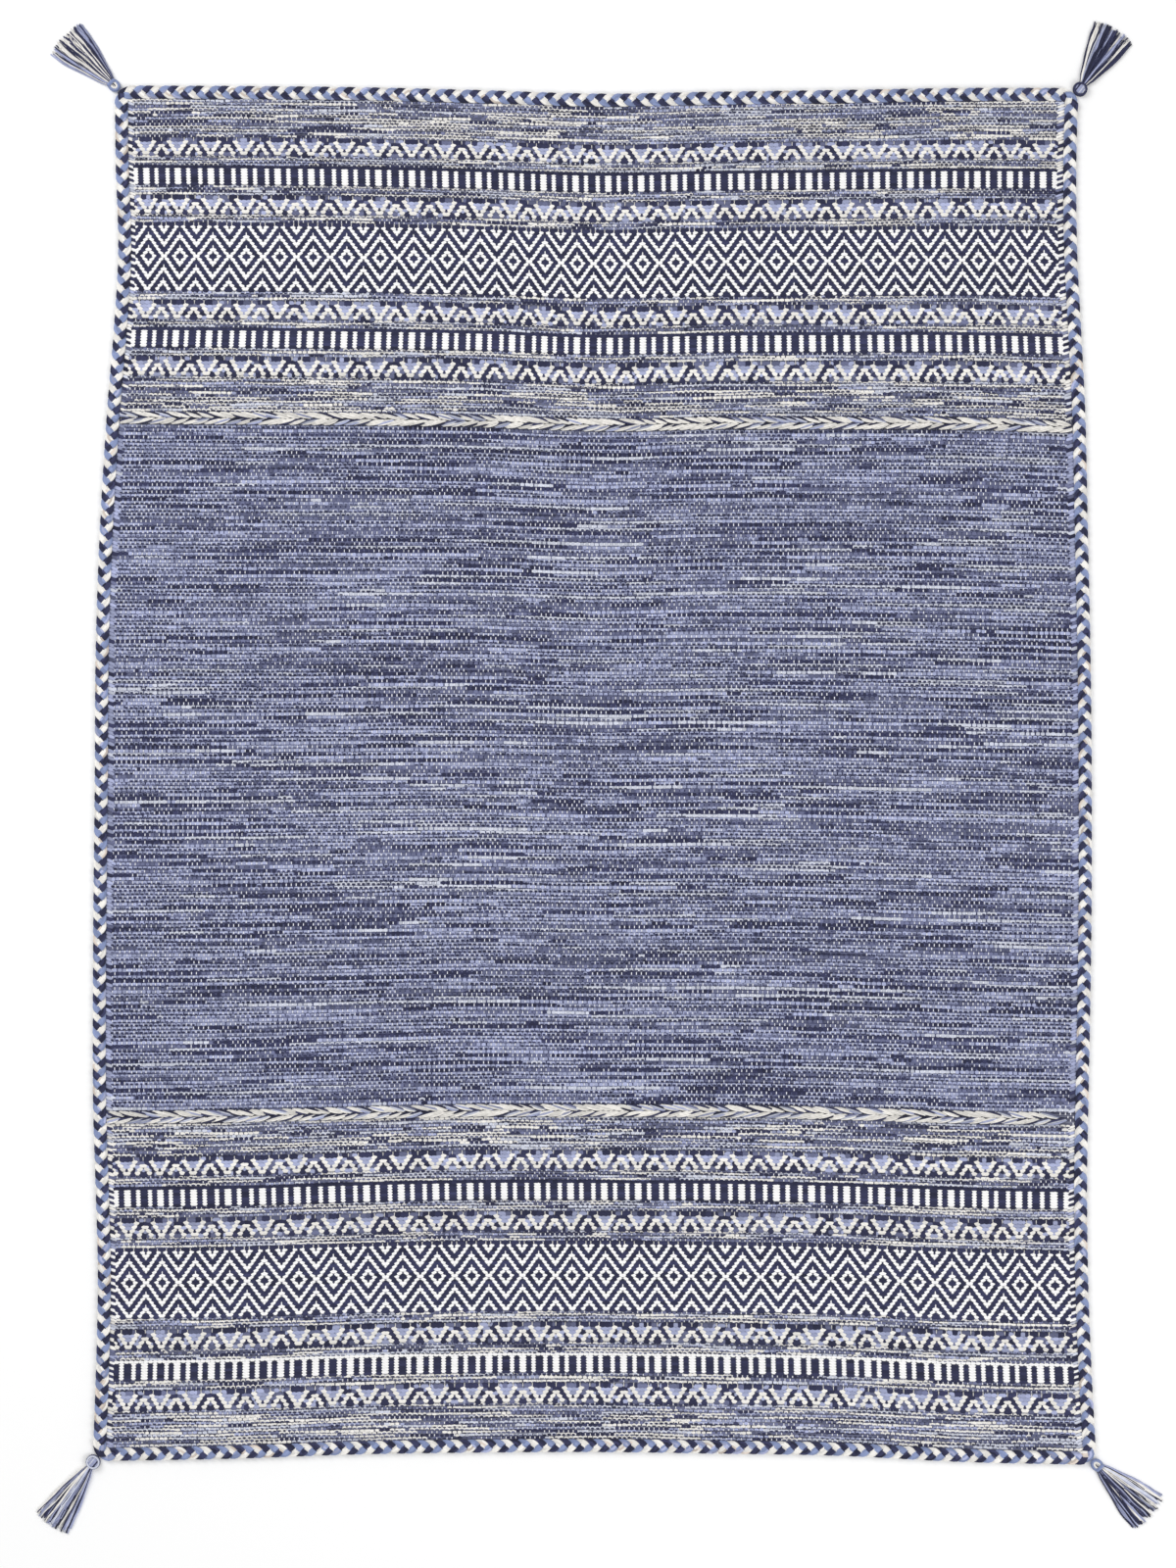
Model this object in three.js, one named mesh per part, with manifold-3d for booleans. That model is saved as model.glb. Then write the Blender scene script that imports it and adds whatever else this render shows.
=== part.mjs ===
// A cotton kilim rug, nominally 120 by 170 cm, lying flat on the floor: a woven panel, a plait of
// three strands sewn round its edge, and a tassel at each corner.
// Millimetres, +Z up, +Y towards the first end, +X towards the right selvedge.
// The origin is the middle of the rug, on its underside.
import * as THREE from "three";
import { mergeVertices } from "three/addons/utils/BufferGeometryUtils.js";
import Module from "manifold-3d";

const PIECE_GAP = 0.3;
const MERGE_DISTANCE = 1e-4;

// The woven panel. NEAR_SELVEDGE is the x, on either side, where a line of weft meets the selvedge.
const CLOTH_WIDTH = 1180;
const CLOTH_THICKNESS = 3.4;
const NEAR_SELVEDGE = 600;
const BAND_RAMP = 1.4;
const SIDE_STEP = 20;
const END_STEP = 30;
const FIELD_COLUMNS = 6;

// The two chained rows, each of two lines of slanting yarn bundles. In a section, across is in
// half widths, crest and trough in heights, and lead, by which the bundles slant, in pitches.
const CHAIN_LINES = [434.5, -414];
const CHAIN_HALF_WIDTH = 8;
const CHAIN_HEIGHT = 3.2;
const CHAIN_PITCH = 13.4;
const CHAIN_SECTION = [
  { across: 1, crest: 0, trough: 0, lead: 0 },
  { across: 0.5, crest: 1, trough: 0.62, lead: 0.125 },
  { across: 0, crest: 0.6, trough: 0.45, lead: 0.25 },
  { across: -0.5, crest: 1, trough: 0.62, lead: 0.125 },
  { across: -1, crest: 0, trough: 0, lead: 0 },
];

// The plait round the edge. Its lobes alternate between the outer and the inner side.
const PLAIT_HALF_WIDTH = 8.2;
const PLAIT_INNER_HALF_WIDTH = 7.9;
const PLAIT_CREST_HEIGHT = 6.8;
const PLAIT_GROOVE_HEIGHT = 5.3;
const PLAIT_SCALLOP = 1.1;
const PLAIT_SHOULDER = 4.6;
const PLAIT_LOBE_PITCH = 10.4;
const PLAIT_CORNER_RADIUS = 13;
const PLAIT_CORNER_STEPS = 12;
const PLAIT_CORNER_SLANT = 0.1;
const PLAIT_SIDE_STEP = 4;

// The outer edges at the two ends, on the rug's middle line.
const FIRST_END = 845;
const SECOND_END = -836.8;

// How far each line of weft bows from its place on the middle line.
const WEFT_BOW = [
  { x: -600, firstEnd: 10, firstChain: 9.7, secondChain: -8.5, secondEnd: -11 },
  { x: -450, firstEnd: 9.5, firstChain: 8.5, secondChain: -6.7, secondEnd: -8.2 },
  { x: -300, firstEnd: 8, firstChain: 7.3, secondChain: -3, secondEnd: -3 },
  { x: -150, firstEnd: 4.5, firstChain: 5.2, secondChain: 0.3, secondEnd: -0.7 },
  { x: 0, firstEnd: 0, firstChain: 0, secondChain: 0, secondEnd: 0 },
  { x: 150, firstEnd: 2.5, firstChain: 2.4, secondChain: -0.6, secondEnd: -2 },
  { x: 300, firstEnd: 4.5, firstChain: 2.6, secondChain: -3.6, secondEnd: -4.7 },
  { x: 450, firstEnd: 7, firstChain: 1.8, secondChain: -8, secondEnd: -12.2 },
  { x: 600, firstEnd: 7, firstChain: -2.4, secondChain: -10.5, secondEnd: -15.7 },
];

// Where the plait's outer edge lies on the two long sides.
const SIDE_EDGES = [
  { y: 850, left: -598, right: 595 },
  { y: 760, left: -597, right: 592.5 },
  { y: 650, left: -593.8, right: 593.5 },
  { y: 550, left: -599.5, right: 598.5 },
  { y: 450, left: -607.8, right: 603.5 },
  { y: 300, left: -616.8, right: 606.8 },
  { y: 150, left: -621.8, right: 610 },
  { y: 0, left: -622.8, right: 611.5 },
  { y: -200, left: -624.8, right: 611 },
  { y: -400, left: -625, right: 607.5 },
  { y: -500, left: -622, right: 605.8 },
  { y: -620, left: -619, right: 607 },
  { y: -740, left: -621.5, right: 611.5 },
  { y: -850, left: -625.5, right: 617.5 },
];

// Bands woven with a fuller weft, from the first end to the second, on the middle line.
const BANDS = [
  { kind: "zigzag", from: 781.2, to: 759.4 },
  { kind: "bars", from: 746.6, to: 723 },
  { kind: "zigzag", from: 710.2, to: 687.1 },
  { kind: "diamonds", from: 676.2, to: 591.8 },
  { kind: "zigzag", from: 580.3, to: 557.2 },
  { kind: "bars", from: 546.3, to: 522 },
  { kind: "zigzag", from: 511.1, to: 486.8 },
  { kind: "zigzag", from: -463.1, to: -486.2 },
  { kind: "bars", from: -500.2, to: -524.4 },
  { kind: "zigzag", from: -538.4, to: -562.1 },
  { kind: "diamonds", from: -575.4, to: -661.6 },
  { kind: "zigzag", from: -675.6, to: -699.9 },
  { kind: "bars", from: -714.4, to: -738.1 },
  { kind: "zigzag", from: -750.8, to: -775.1 },
];
const BAND_RISE = { zigzag: 0.5, bars: 0.2, diamonds: 0.2 };

// The tassels. seat is the direction from the plait's corner to the head and axis the way the
// skirt points, in degrees. length is the skirt's, and spread half its width at the tips.
const TASSELS = [
  { name: "tassel_top_left", corner: 1, head: "loop", seat: 136, axis: 136, spread: 28, length: 81 },
  { name: "tassel_top_right", corner: 0, head: "knot", seat: 40, axis: 59, spread: 29, length: 76 },
  { name: "tassel_bottom_left", corner: 2, head: "knot", seat: 227, axis: 236, spread: 24, length: 84 },
  { name: "tassel_bottom_right", corner: 3, head: "loop", seat: -45, axis: -43, spread: 28, length: 85 },
];
const STRAND_COUNT = 21;
const STRAND_WIDTH = 1.4;
const STRAND_HEIGHT = 1.5;
const STRAND_LAYERS = 3;
const STRAND_STEPS = 4;
const STRAND_ROOT_DEPTH = 5;
const STRAND_ROOT_HALF_SPREAD = 9;
const STRAND_ROOT_HEIGHT = 0.4;
const STRAND_LAYER_STEP = STRAND_HEIGHT + PIECE_GAP;
const STRAND_SWAY = 0.3;
const STRAND_FAN_POWER = 0.75;
const STRAND_ON_FLOOR_FROM = 0.5;
const SHORTEST_STRAND = 0.95;
const STRAND_UNEVENNESS = 0.08;

// Heads, as sections along the tassel's axis. The knot starts where its round head leaves off.
const LOOP_HEAD = [
  { along: 0, halfWidth: 4.6, height: 6.2 },
  { along: 2.5, halfWidth: 7.2, height: 8.2 },
  { along: 8, halfWidth: 7.6, height: 8.6 },
  { along: 11.5, halfWidth: 5.2, height: 7.4 },
  { along: 12.2, halfWidth: 5.9, height: 8.2 },
  { along: 14, halfWidth: 5.9, height: 8.2 },
  { along: 14.7, halfWidth: 5.2, height: 7.4 },
];
const KNOT_HEAD = [
  { along: 14.5, halfWidth: 3.4, height: 6.6 },
  { along: 18.6, halfWidth: 4.6, height: 7 },
];
const KNOT_PROFILE = [
  { radius: 9.2, height: 0 },
  { radius: 9.4, height: 3 },
  { radius: 9.2, height: 6 },
  { radius: 7.6, height: 8.8 },
  { radius: 5, height: 8.8 },
  { radius: 3, height: 7 },
];
const SKIRT_ROOT = [
  { along: 6, halfWidth: 9, height: 7.6 },
  { along: 16, halfWidth: 11.5, height: 6.2 },
];
const HEAD_SIDES = 12;
const HEAD_FLAT_BELOW = 0.75;
const KNOT_SIDES = 20;

const SCATTER = { first: 12.9898, second: 78.233, size: 43758.5453 };

const FABRIC = { roughness: 0.95, metalness: 0 };
const clothMaterial = new THREE.MeshStandardMaterial({ color: 0x8a8ea8, ...FABRIC });
const plaitMaterial = new THREE.MeshStandardMaterial({ color: 0x8c96b8, ...FABRIC });
const tasselMaterial = new THREE.MeshStandardMaterial({ color: 0x565a7c, ...FABRIC });

const wasm = await Module();
wasm.setup();

// A column of a table at one place along another column, on a smooth curve through its rows.
function curveThrough(rows, placeKey, valueKey) {
  const sorted = [...rows].sort((a, b) => a[placeKey] - b[placeKey]);
  const place = sorted.map((row) => row[placeKey]);
  const value = sorted.map((row) => row[valueKey]);
  const last = place.length - 1;
  const slope = place.map((_, i) => {
    const before = Math.max(i - 1, 0);
    const after = Math.min(i + 1, last);
    return (value[after] - value[before]) / (place[after] - place[before]);
  });
  return (at) => {
    const inside = THREE.MathUtils.clamp(at, place[0], place[last]);
    const i = Math.min(place.findLastIndex((p) => p <= inside), last - 1);
    const span = place[i + 1] - place[i];
    const t = (inside - place[i]) / span;
    const rise = value[i + 1] - value[i];
    const bend = t * (1 - t) * ((1 - t) * (slope[i] * span - rise) - t * (slope[i + 1] * span - rise));
    return value[i] + t * rise + bend;
  };
}

const leftEdge = curveThrough(SIDE_EDGES, "y", "left");
const rightEdge = curveThrough(SIDE_EDGES, "y", "right");
const bowAt = {
  firstEnd: curveThrough(WEFT_BOW, "x", "firstEnd"),
  firstChain: curveThrough(WEFT_BOW, "x", "firstChain"),
  secondChain: curveThrough(WEFT_BOW, "x", "secondChain"),
  secondEnd: curveThrough(WEFT_BOW, "x", "secondEnd"),
};
const BOW_LINES = [
  { at: FIRST_END, bow: bowAt.firstEnd },
  { at: CHAIN_LINES[0], bow: bowAt.firstChain },
  { at: CHAIN_LINES[1], bow: bowAt.secondChain },
  { at: SECOND_END, bow: bowAt.secondEnd },
];

// The height on the plan of the line of weft that crosses the middle line at nominal.
function weftLine(nominal, x) {
  const i = BOW_LINES.slice(1, -1).filter((line) => nominal < line.at).length;
  const above = BOW_LINES[i];
  const below = BOW_LINES[i + 1];
  const t = (above.at - nominal) / (above.at - below.at);
  return nominal + THREE.MathUtils.lerp(above.bow(x), below.bow(x), t);
}

// A mesh from a plain list of triangles' corners.
function meshOf(name, corners, material) {
  const geometry = new THREE.BufferGeometry();
  const numbers = new Float32Array(corners.flatMap((p) => [p.x, p.y, p.z]));
  geometry.setAttribute("position", new THREE.BufferAttribute(numbers, 3));
  geometry.computeVertexNormals();
  const mesh = new THREE.Mesh(geometry, material);
  mesh.name = name;
  return mesh;
}

// Triangles between two lines of points that both run towards +X, facing up.
function strip(upper, lower) {
  const corners = [];
  let i = 0;
  let j = 0;
  while (i < upper.length - 1 || j < lower.length - 1) {
    const lowerNext = j < lower.length - 1 && (i === upper.length - 1 || lower[j + 1].x <= upper[i + 1].x);
    if (lowerNext) {
      corners.push(upper[i], lower[j], lower[j + 1]);
      j += 1;
    } else {
      corners.push(upper[i], lower[j], upper[i + 1]);
      i += 1;
    }
  }
  return corners;
}

const quad = (a, b, c, d) => [a, b, c, a, c, d];
const onFloor = (p) => new THREE.Vector3(p.x, p.y, 0);
const turnedOver = (corners) => corners.toReversed();

// The panel's edges, clear of the plait.
const CLOTH_INSET = PLAIT_HALF_WIDTH + PLAIT_INNER_HALF_WIDTH + PIECE_GAP;
const CORNER_CUT = PLAIT_CORNER_RADIUS - PLAIT_INNER_HALF_WIDTH - PIECE_GAP;
const clothFirst = FIRST_END - CLOTH_INSET;
const clothSecond = SECOND_END + CLOTH_INSET;

// One line of weft across the panel. heightOf gives a point's height from its place in the line.
function weftRow(nominal, columns, heightOf, cornerCut = 0) {
  const nominalBow = THREE.MathUtils.clamp(nominal, SECOND_END, FIRST_END);
  const yAt = (x) => weftLine(nominalBow, x) + (nominal - nominalBow);
  const leftX = leftEdge(yAt(-NEAR_SELVEDGE)) + CLOTH_INSET + cornerCut;
  const rightX = rightEdge(yAt(NEAR_SELVEDGE)) - CLOTH_INSET - cornerCut;
  return Array.from({ length: columns + 1 }, (_, i) => {
    const x = THREE.MathUtils.lerp(leftX, rightX, i / columns);
    return new THREE.Vector3(x, yAt(x), heightOf(i));
  });
}

function chainRows(nominal) {
  const columns = 2 * Math.round(CLOTH_WIDTH / CHAIN_PITCH);
  return CHAIN_SECTION.map((section) => {
    const y = nominal + section.across * CHAIN_HALF_WIDTH;
    if (section.crest === 0) return weftRow(y, FIELD_COLUMNS, () => CLOTH_THICKNESS);
    const row = weftRow(y, columns, (i) => {
      const share = i % 2 ? section.trough : section.crest;
      return CLOTH_THICKNESS + CHAIN_HEIGHT * share;
    });
    row.slice(1, -1).forEach((p) => (p.x += section.lead * CHAIN_PITCH));
    return row;
  });
}

function clothRows() {
  const plain = (nominal, height) => ({ nominal, points: weftRow(nominal, FIELD_COLUMNS, () => height) });
  const rows = BANDS.flatMap(({ kind, from, to }) => {
    const raised = CLOTH_THICKNESS + BAND_RISE[kind];
    return [
      plain(from, CLOTH_THICKNESS),
      plain(from - BAND_RAMP, raised),
      plain(to + BAND_RAMP, raised),
      plain(to, CLOTH_THICKNESS),
    ];
  });
  CHAIN_LINES.forEach((line) => {
    chainRows(line).forEach((points, i) => {
      const nominal = line + CHAIN_SECTION[i].across * CHAIN_HALF_WIDTH;
      rows.push({ nominal, points });
    });
  });
  const endColumns = Math.round(CLOTH_WIDTH / END_STEP);
  const endRow = (nominal) => weftRow(nominal, endColumns, () => CLOTH_THICKNESS, CORNER_CUT);
  rows.push({ nominal: clothFirst, points: endRow(clothFirst) });
  rows.push(plain(clothFirst - CORNER_CUT, CLOTH_THICKNESS));
  rows.push(plain(clothSecond + CORNER_CUT, CLOTH_THICKNESS));
  rows.push({ nominal: clothSecond, points: endRow(clothSecond) });
  rows.sort((a, b) => b.nominal - a.nominal);
  const filled = rows.flatMap((row, i) => {
    const next = rows[i + 1];
    if (!next) return [row];
    const gap = row.nominal - next.nominal;
    const extra = Math.ceil(gap / SIDE_STEP) - 1;
    const height = row.points[0].z;
    const between = Array.from({ length: extra }, (_, k) => {
      return plain(row.nominal - (gap * (k + 1)) / (extra + 1), height);
    });
    return [row, ...between];
  });
  return filled.map((row) => row.points);
}

function makeCloth() {
  const rows = clothRows();
  const ends = rows.map((row) => [row[0], row.at(-1)]);
  ends[0] = rows[0];
  ends[ends.length - 1] = rows.at(-1);
  const corners = [];
  rows.slice(1).forEach((row, i) => {
    corners.push(...strip(rows[i], row));
    corners.push(...turnedOver(strip(ends[i].map(onFloor), ends[i + 1].map(onFloor))));
    const [leftUp, leftDown] = [rows[i][0], row[0]];
    const [rightUp, rightDown] = [rows[i].at(-1), row.at(-1)];
    corners.push(...quad(leftUp, onFloor(leftUp), onFloor(leftDown), leftDown));
    corners.push(...quad(rightDown, onFloor(rightDown), onFloor(rightUp), rightUp));
  });
  const wall = (from, to) => corners.push(...quad(from, onFloor(from), onFloor(to), to));
  rows[0].slice(1).forEach((p, i) => wall(p, rows[0][i]));
  rows.at(-1).slice(1).forEach((p, i) => wall(rows.at(-1)[i], p));
  return meshOf("cloth", corners, clothMaterial);
}

// The plait's middle line, closed and running anticlockwise from the top right corner.
function plaitLine() {
  const inset = PLAIT_HALF_WIDTH;
  const first = (x) => weftLine(FIRST_END, x) - inset;
  const second = (x) => weftLine(SECOND_END, x) + inset;
  const left = (y) => leftEdge(y) + inset;
  const right = (y) => rightEdge(y) - inset;
  const centres = [
    { side: right, end: first, x: -1, y: -1 },
    { side: left, end: first, x: 1, y: -1 },
    { side: left, end: second, x: 1, y: 1 },
    { side: right, end: second, x: -1, y: 1 },
  ].map(({ side, end, x, y }) => {
    const cornerX = side(end(-x * NEAR_SELVEDGE));
    const cornerY = end(cornerX);
    return new THREE.Vector2(cornerX + x * PLAIT_CORNER_RADIUS, cornerY + y * PLAIT_CORNER_RADIUS);
  });
  const along = (from, to, pointAt) => {
    const steps = Math.round(Math.abs(to - from) / PLAIT_SIDE_STEP);
    return Array.from({ length: steps - 1 }, (_, i) => {
      return pointAt(THREE.MathUtils.lerp(from, to, (i + 1) / steps));
    });
  };
  const turn = (centre, quarter) =>
    Array.from({ length: PLAIT_CORNER_STEPS + 1 }, (_, i) => {
      const angle = ((quarter + i / PLAIT_CORNER_STEPS) * Math.PI) / 2;
      const reach = new THREE.Vector2(Math.cos(angle), Math.sin(angle));
      return reach.multiplyScalar(PLAIT_CORNER_RADIUS).add(centre);
    });
  const [topRight, topLeft, bottomLeft, bottomRight] = centres;
  const line = [
    ...turn(topRight, 0),
    ...along(topRight.x, topLeft.x, (x) => new THREE.Vector2(x, first(x))),
    ...turn(topLeft, 1),
    ...along(topLeft.y, bottomLeft.y, (y) => new THREE.Vector2(left(y), y)),
    ...turn(bottomLeft, 2),
    ...along(bottomLeft.x, bottomRight.x, (x) => new THREE.Vector2(x, second(x))),
    ...turn(bottomRight, 3),
    ...along(bottomRight.y, topRight.y, (y) => new THREE.Vector2(right(y), y)),
  ];
  return { line, centres };
}

// Points at even steps along a closed line, each with its outward direction.
function evenStations(line, count) {
  const closed = [...line, line[0]];
  const reached = [0];
  closed.slice(1).forEach((p, i) => reached.push(reached[i] + p.distanceTo(closed[i])));
  const total = reached.at(-1);
  let segment = 0;
  const points = Array.from({ length: count }, (_, k) => {
    const at = (total * k) / count;
    while (reached[segment + 1] < at) segment += 1;
    const t = (at - reached[segment]) / (reached[segment + 1] - reached[segment]);
    return closed[segment].clone().lerp(closed[segment + 1], t);
  });
  return points.map((point, k) => {
    const ahead = points[(k + 1) % count];
    const behind = points[(k + count - 1) % count];
    const way = ahead.clone().sub(behind).normalize();
    return { point, outward: new THREE.Vector2(way.y, -way.x) };
  });
}

function makePlait(line) {
  const length = line.reduce((sum, p, i) => sum + p.distanceTo(line[(i + 1) % line.length]), 0);
  const stations = evenStations(line, 2 * Math.round(length / PLAIT_LOBE_PITCH));
  const sections = stations.map(({ point, outward }, k) => {
    const outerCrest = k % 2 === 0;
    const outerHeight = outerCrest ? PLAIT_CREST_HEIGHT : PLAIT_GROOVE_HEIGHT;
    const innerHeight = outerCrest ? PLAIT_GROOVE_HEIGHT : PLAIT_CREST_HEIGHT;
    // The corners are drawn in by their tassels, so there the outer side has no hollows.
    const onCorner = Math.abs(outward.x * outward.y) > PLAIT_CORNER_SLANT;
    const reach = PLAIT_HALF_WIDTH - (outerCrest || onCorner ? 0 : PLAIT_SCALLOP);
    const at = (across, height) => {
      const place = outward.clone().multiplyScalar(across).add(point);
      return new THREE.Vector3(place.x, place.y, height);
    };
    return [
      at(reach, 0),
      at(PLAIT_SHOULDER, outerHeight),
      at(-PLAIT_SHOULDER, innerHeight),
      at(-PLAIT_INNER_HALF_WIDTH, 0),
    ];
  });
  const corners = sections.flatMap((section, k) => {
    const next = sections[(k + 1) % sections.length];
    return section.flatMap((p, i) => {
      const j = (i + 1) % section.length;
      return k % 2 ? quad(next[i], next[j], section[j], p) : quad(p, next[i], next[j], section[j]);
    });
  });
  return meshOf("edging_plait", corners, plaitMaterial);
}

// A closed solid through a list of rings that all have the same number of points.
function loft(rings) {
  const sides = rings[0].length;
  const corners = rings.slice(1).flatMap((ring, k) => {
    return ring.flatMap((p, i) => {
      const j = (i + 1) % sides;
      return quad(rings[k][i], rings[k][j], ring[j], p);
    });
  });
  const cap = (ring) => ring.slice(2).flatMap((p, i) => [ring[0], ring[i + 1], p]);
  return [...turnedOver(cap(rings[0])), ...corners, ...cap(rings.at(-1))];
}

function solidOf(geometry) {
  const bare = geometry.clone();
  bare.deleteAttribute("normal");
  bare.deleteAttribute("uv");
  const merged = mergeVertices(bare, MERGE_DISTANCE);
  return new wasm.Manifold(
    new wasm.Mesh({
      numProp: 3,
      vertProperties: merged.attributes.position.array,
      triVerts: new Uint32Array(merged.index.array),
    }),
  );
}

function geometryOf(solid) {
  const { vertProperties, triVerts } = solid.getMesh();
  const geometry = new THREE.BufferGeometry();
  geometry.setAttribute("position", new THREE.BufferAttribute(vertProperties, 3));
  geometry.setIndex(new THREE.BufferAttribute(triVerts, 1));
  return geometry;
}

const loftSolid = (rings) => solidOf(meshOf("", loft(rings), tasselMaterial).geometry);

// A rounded ring of a head, square to the tassel's axis, flat underneath.
function headRing({ along, halfWidth, height }) {
  return Array.from({ length: HEAD_SIDES }, (_, i) => {
    const angle = ((i + 0.5) / HEAD_SIDES) * 2 * Math.PI;
    const rise = (Math.max(Math.sin(angle), -HEAD_FLAT_BELOW) + HEAD_FLAT_BELOW) / (1 + HEAD_FLAT_BELOW);
    return new THREE.Vector3(along, halfWidth * Math.cos(angle), height * rise);
  });
}

// A number from 0 to 1 that looks random but is the same on each run.
function scatter(a, b) {
  const wave = SCATTER.size * Math.sin(SCATTER.first * a + SCATTER.second * b);
  return wave - Math.floor(wave);
}

// One strand, from its root to its tip lying on the floor. The skirt's neck is at neck.
function strandRings(index, tassel, neck) {
  const share = (2 * (index + 0.5)) / STRAND_COUNT - 1;
  const layer = index % STRAND_LAYERS;
  const start = neck + SKIRT_ROOT.at(-1).along - STRAND_ROOT_DEPTH;
  const rootY = share * STRAND_ROOT_HALF_SPREAD;
  const rootZ = STRAND_ROOT_HEIGHT + layer * STRAND_LAYER_STEP;
  const sway = (STRAND_SWAY * (scatter(index, tassel.axis) - 0.5)) / STRAND_COUNT;
  const tipY = (share + sway) * tassel.spread;
  const reach = tassel.length * (SHORTEST_STRAND + STRAND_UNEVENNESS * scatter(index, tassel.length));
  const tipX = neck + Math.sqrt(reach ** 2 - tipY ** 2);
  return Array.from({ length: STRAND_STEPS + 1 }, (_, k) => {
    const t = k / STRAND_STEPS;
    const x = THREE.MathUtils.lerp(start, tipX, t);
    const y = THREE.MathUtils.lerp(rootY, tipY, t ** STRAND_FAN_POWER);
    const z = rootZ * (1 - THREE.MathUtils.smoothstep(t, STRAND_ON_FLOOR_FROM, 1));
    const half = STRAND_WIDTH / 2;
    return [
      new THREE.Vector3(x, y - half, z),
      new THREE.Vector3(x, y + half, z),
      new THREE.Vector3(x, y, z + STRAND_HEIGHT),
    ];
  });
}

function makeTassel(tassel, cornerCentre) {
  const isKnot = tassel.head === "knot";
  const sections = isKnot ? KNOT_HEAD : LOOP_HEAD;
  const neck = sections.at(-1).along;
  const skirtRoot = SKIRT_ROOT.map((section) => ({ ...section, along: neck + section.along }));
  const rings = [...sections, ...skirtRoot].map(headRing);
  let solid = loftSolid(rings);
  for (let i = 0; i < STRAND_COUNT; i += 1) {
    solid = solid.add(loftSolid(strandRings(i, tassel, neck)));
  }
  const knotRadius = KNOT_PROFILE[0].radius;
  if (isKnot) {
    const profile = KNOT_PROFILE.map((p) => new THREE.Vector2(p.radius, p.height));
    const bottom = new THREE.Vector2(0, 0);
    const top = new THREE.Vector2(0, KNOT_PROFILE.at(-1).height);
    const turned = new THREE.LatheGeometry([bottom, ...profile, top], KNOT_SIDES);
    turned.rotateX(Math.PI / 2);
    turned.translate(knotRadius, 0, 0);
    solid = solid.add(solidOf(turned));
  }
  const mesh = new THREE.Mesh(geometryOf(solid), tasselMaterial);
  mesh.name = tassel.name;
  const seat = THREE.MathUtils.degToRad(tassel.seat);
  const axis = THREE.MathUtils.degToRad(tassel.axis);
  const seatReach = PLAIT_CORNER_RADIUS + PLAIT_HALF_WIDTH + PIECE_GAP;
  const seatPlace = new THREE.Vector2(Math.cos(seat), Math.sin(seat));
  if (isKnot) {
    // The round head keeps its distance whatever way the skirt points.
    seatPlace.multiplyScalar(seatReach + knotRadius).add(cornerCentre);
    seatPlace.sub(new THREE.Vector2(Math.cos(axis), Math.sin(axis)).multiplyScalar(knotRadius));
  } else {
    seatPlace.multiplyScalar(seatReach).add(cornerCentre);
  }
  mesh.position.set(seatPlace.x, seatPlace.y, 0);
  mesh.rotation.z = axis;
  return mesh;
}

const { line, centres } = plaitLine();
const kilim = new THREE.Group();
kilim.add(makeCloth(), makePlait(line));
kilim.add(...TASSELS.map((tassel) => makeTassel(tassel, centres[tassel.corner])));

export default kilim;
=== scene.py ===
import math

import bpy
import numpy as np
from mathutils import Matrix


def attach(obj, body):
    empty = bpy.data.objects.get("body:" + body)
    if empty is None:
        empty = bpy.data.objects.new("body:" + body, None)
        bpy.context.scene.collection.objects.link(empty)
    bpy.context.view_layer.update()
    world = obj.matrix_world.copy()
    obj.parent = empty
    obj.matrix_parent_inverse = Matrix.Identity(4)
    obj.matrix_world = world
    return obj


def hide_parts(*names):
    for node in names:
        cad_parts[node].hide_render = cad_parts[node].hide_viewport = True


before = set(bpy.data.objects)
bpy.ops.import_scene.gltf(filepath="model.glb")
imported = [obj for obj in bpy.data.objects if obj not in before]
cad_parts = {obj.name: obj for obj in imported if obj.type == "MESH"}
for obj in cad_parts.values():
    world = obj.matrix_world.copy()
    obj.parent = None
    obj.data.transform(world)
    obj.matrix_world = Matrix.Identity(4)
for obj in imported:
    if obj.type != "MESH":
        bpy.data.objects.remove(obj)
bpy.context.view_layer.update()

# Lengths are in millimetres, in the frame of the solids, and become metres when a mesh is made.
MM = 0.001

# Where the plait's outer edge lies on the two long sides, by y.
SIDE_EDGES = {
    "y": [-850, -740, -620, -500, -400, -200, 0, 150, 300, 450, 550, 650, 760, 850],
    "left": [
        -625.5, -621.5, -619, -622, -625, -624.8, -622.8,
        -621.8, -616.8, -607.8, -599.5, -593.8, -597, -598,
    ],
    "right": [617.5, 611.5, 607, 605.8, 607.5, 611, 611.5, 610, 606.8, 603.5, 598.5, 593.5, 592.5, 595],
}
# How far each line of weft bows from its place on the middle line, by x.
WEFT_BOW = {
    "x": [-600, -450, -300, -150, 0, 150, 300, 450, 600],
    "first_end": [10, 9.5, 8, 4.5, 0, 2.5, 4.5, 7, 7],
    "first_chain": [9.7, 8.5, 7.3, 5.2, 0, 2.4, 2.6, 1.8, -2.4],
    "second_chain": [-8.5, -6.7, -3, 0.3, 0, -0.6, -3.6, -8, -10.5],
    "second_end": [-11, -8.2, -3, -0.7, 0, -2, -4.7, -12.2, -15.7],
}
# How far the warps have drifted from even spacing, by x.
WARP_DRIFT = {
    "x": [-583, -556, -516, -393, -311, -187, -104, -25, 97, 221, 306, 431, 473, 552, 589],
    "shift": [0, -0.8, -3.0, -2.9, -2.2, -1.3, -2, -4.8, -6.3, -5.2, -3.3, -1.7, -1.7, -2.8, 0],
}
FIRST_END, FIRST_CHAIN, SECOND_CHAIN, SECOND_END = 845, 434.5, -414, -836.8
CHAIN_HALF_WIDTH = 8
FIELD_TOP, FIELD_BOTTOM = FIRST_CHAIN - CHAIN_HALF_WIDTH, SECOND_CHAIN + CHAIN_HALF_WIDTH
NEAR_SELVEDGE = 600

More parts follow.
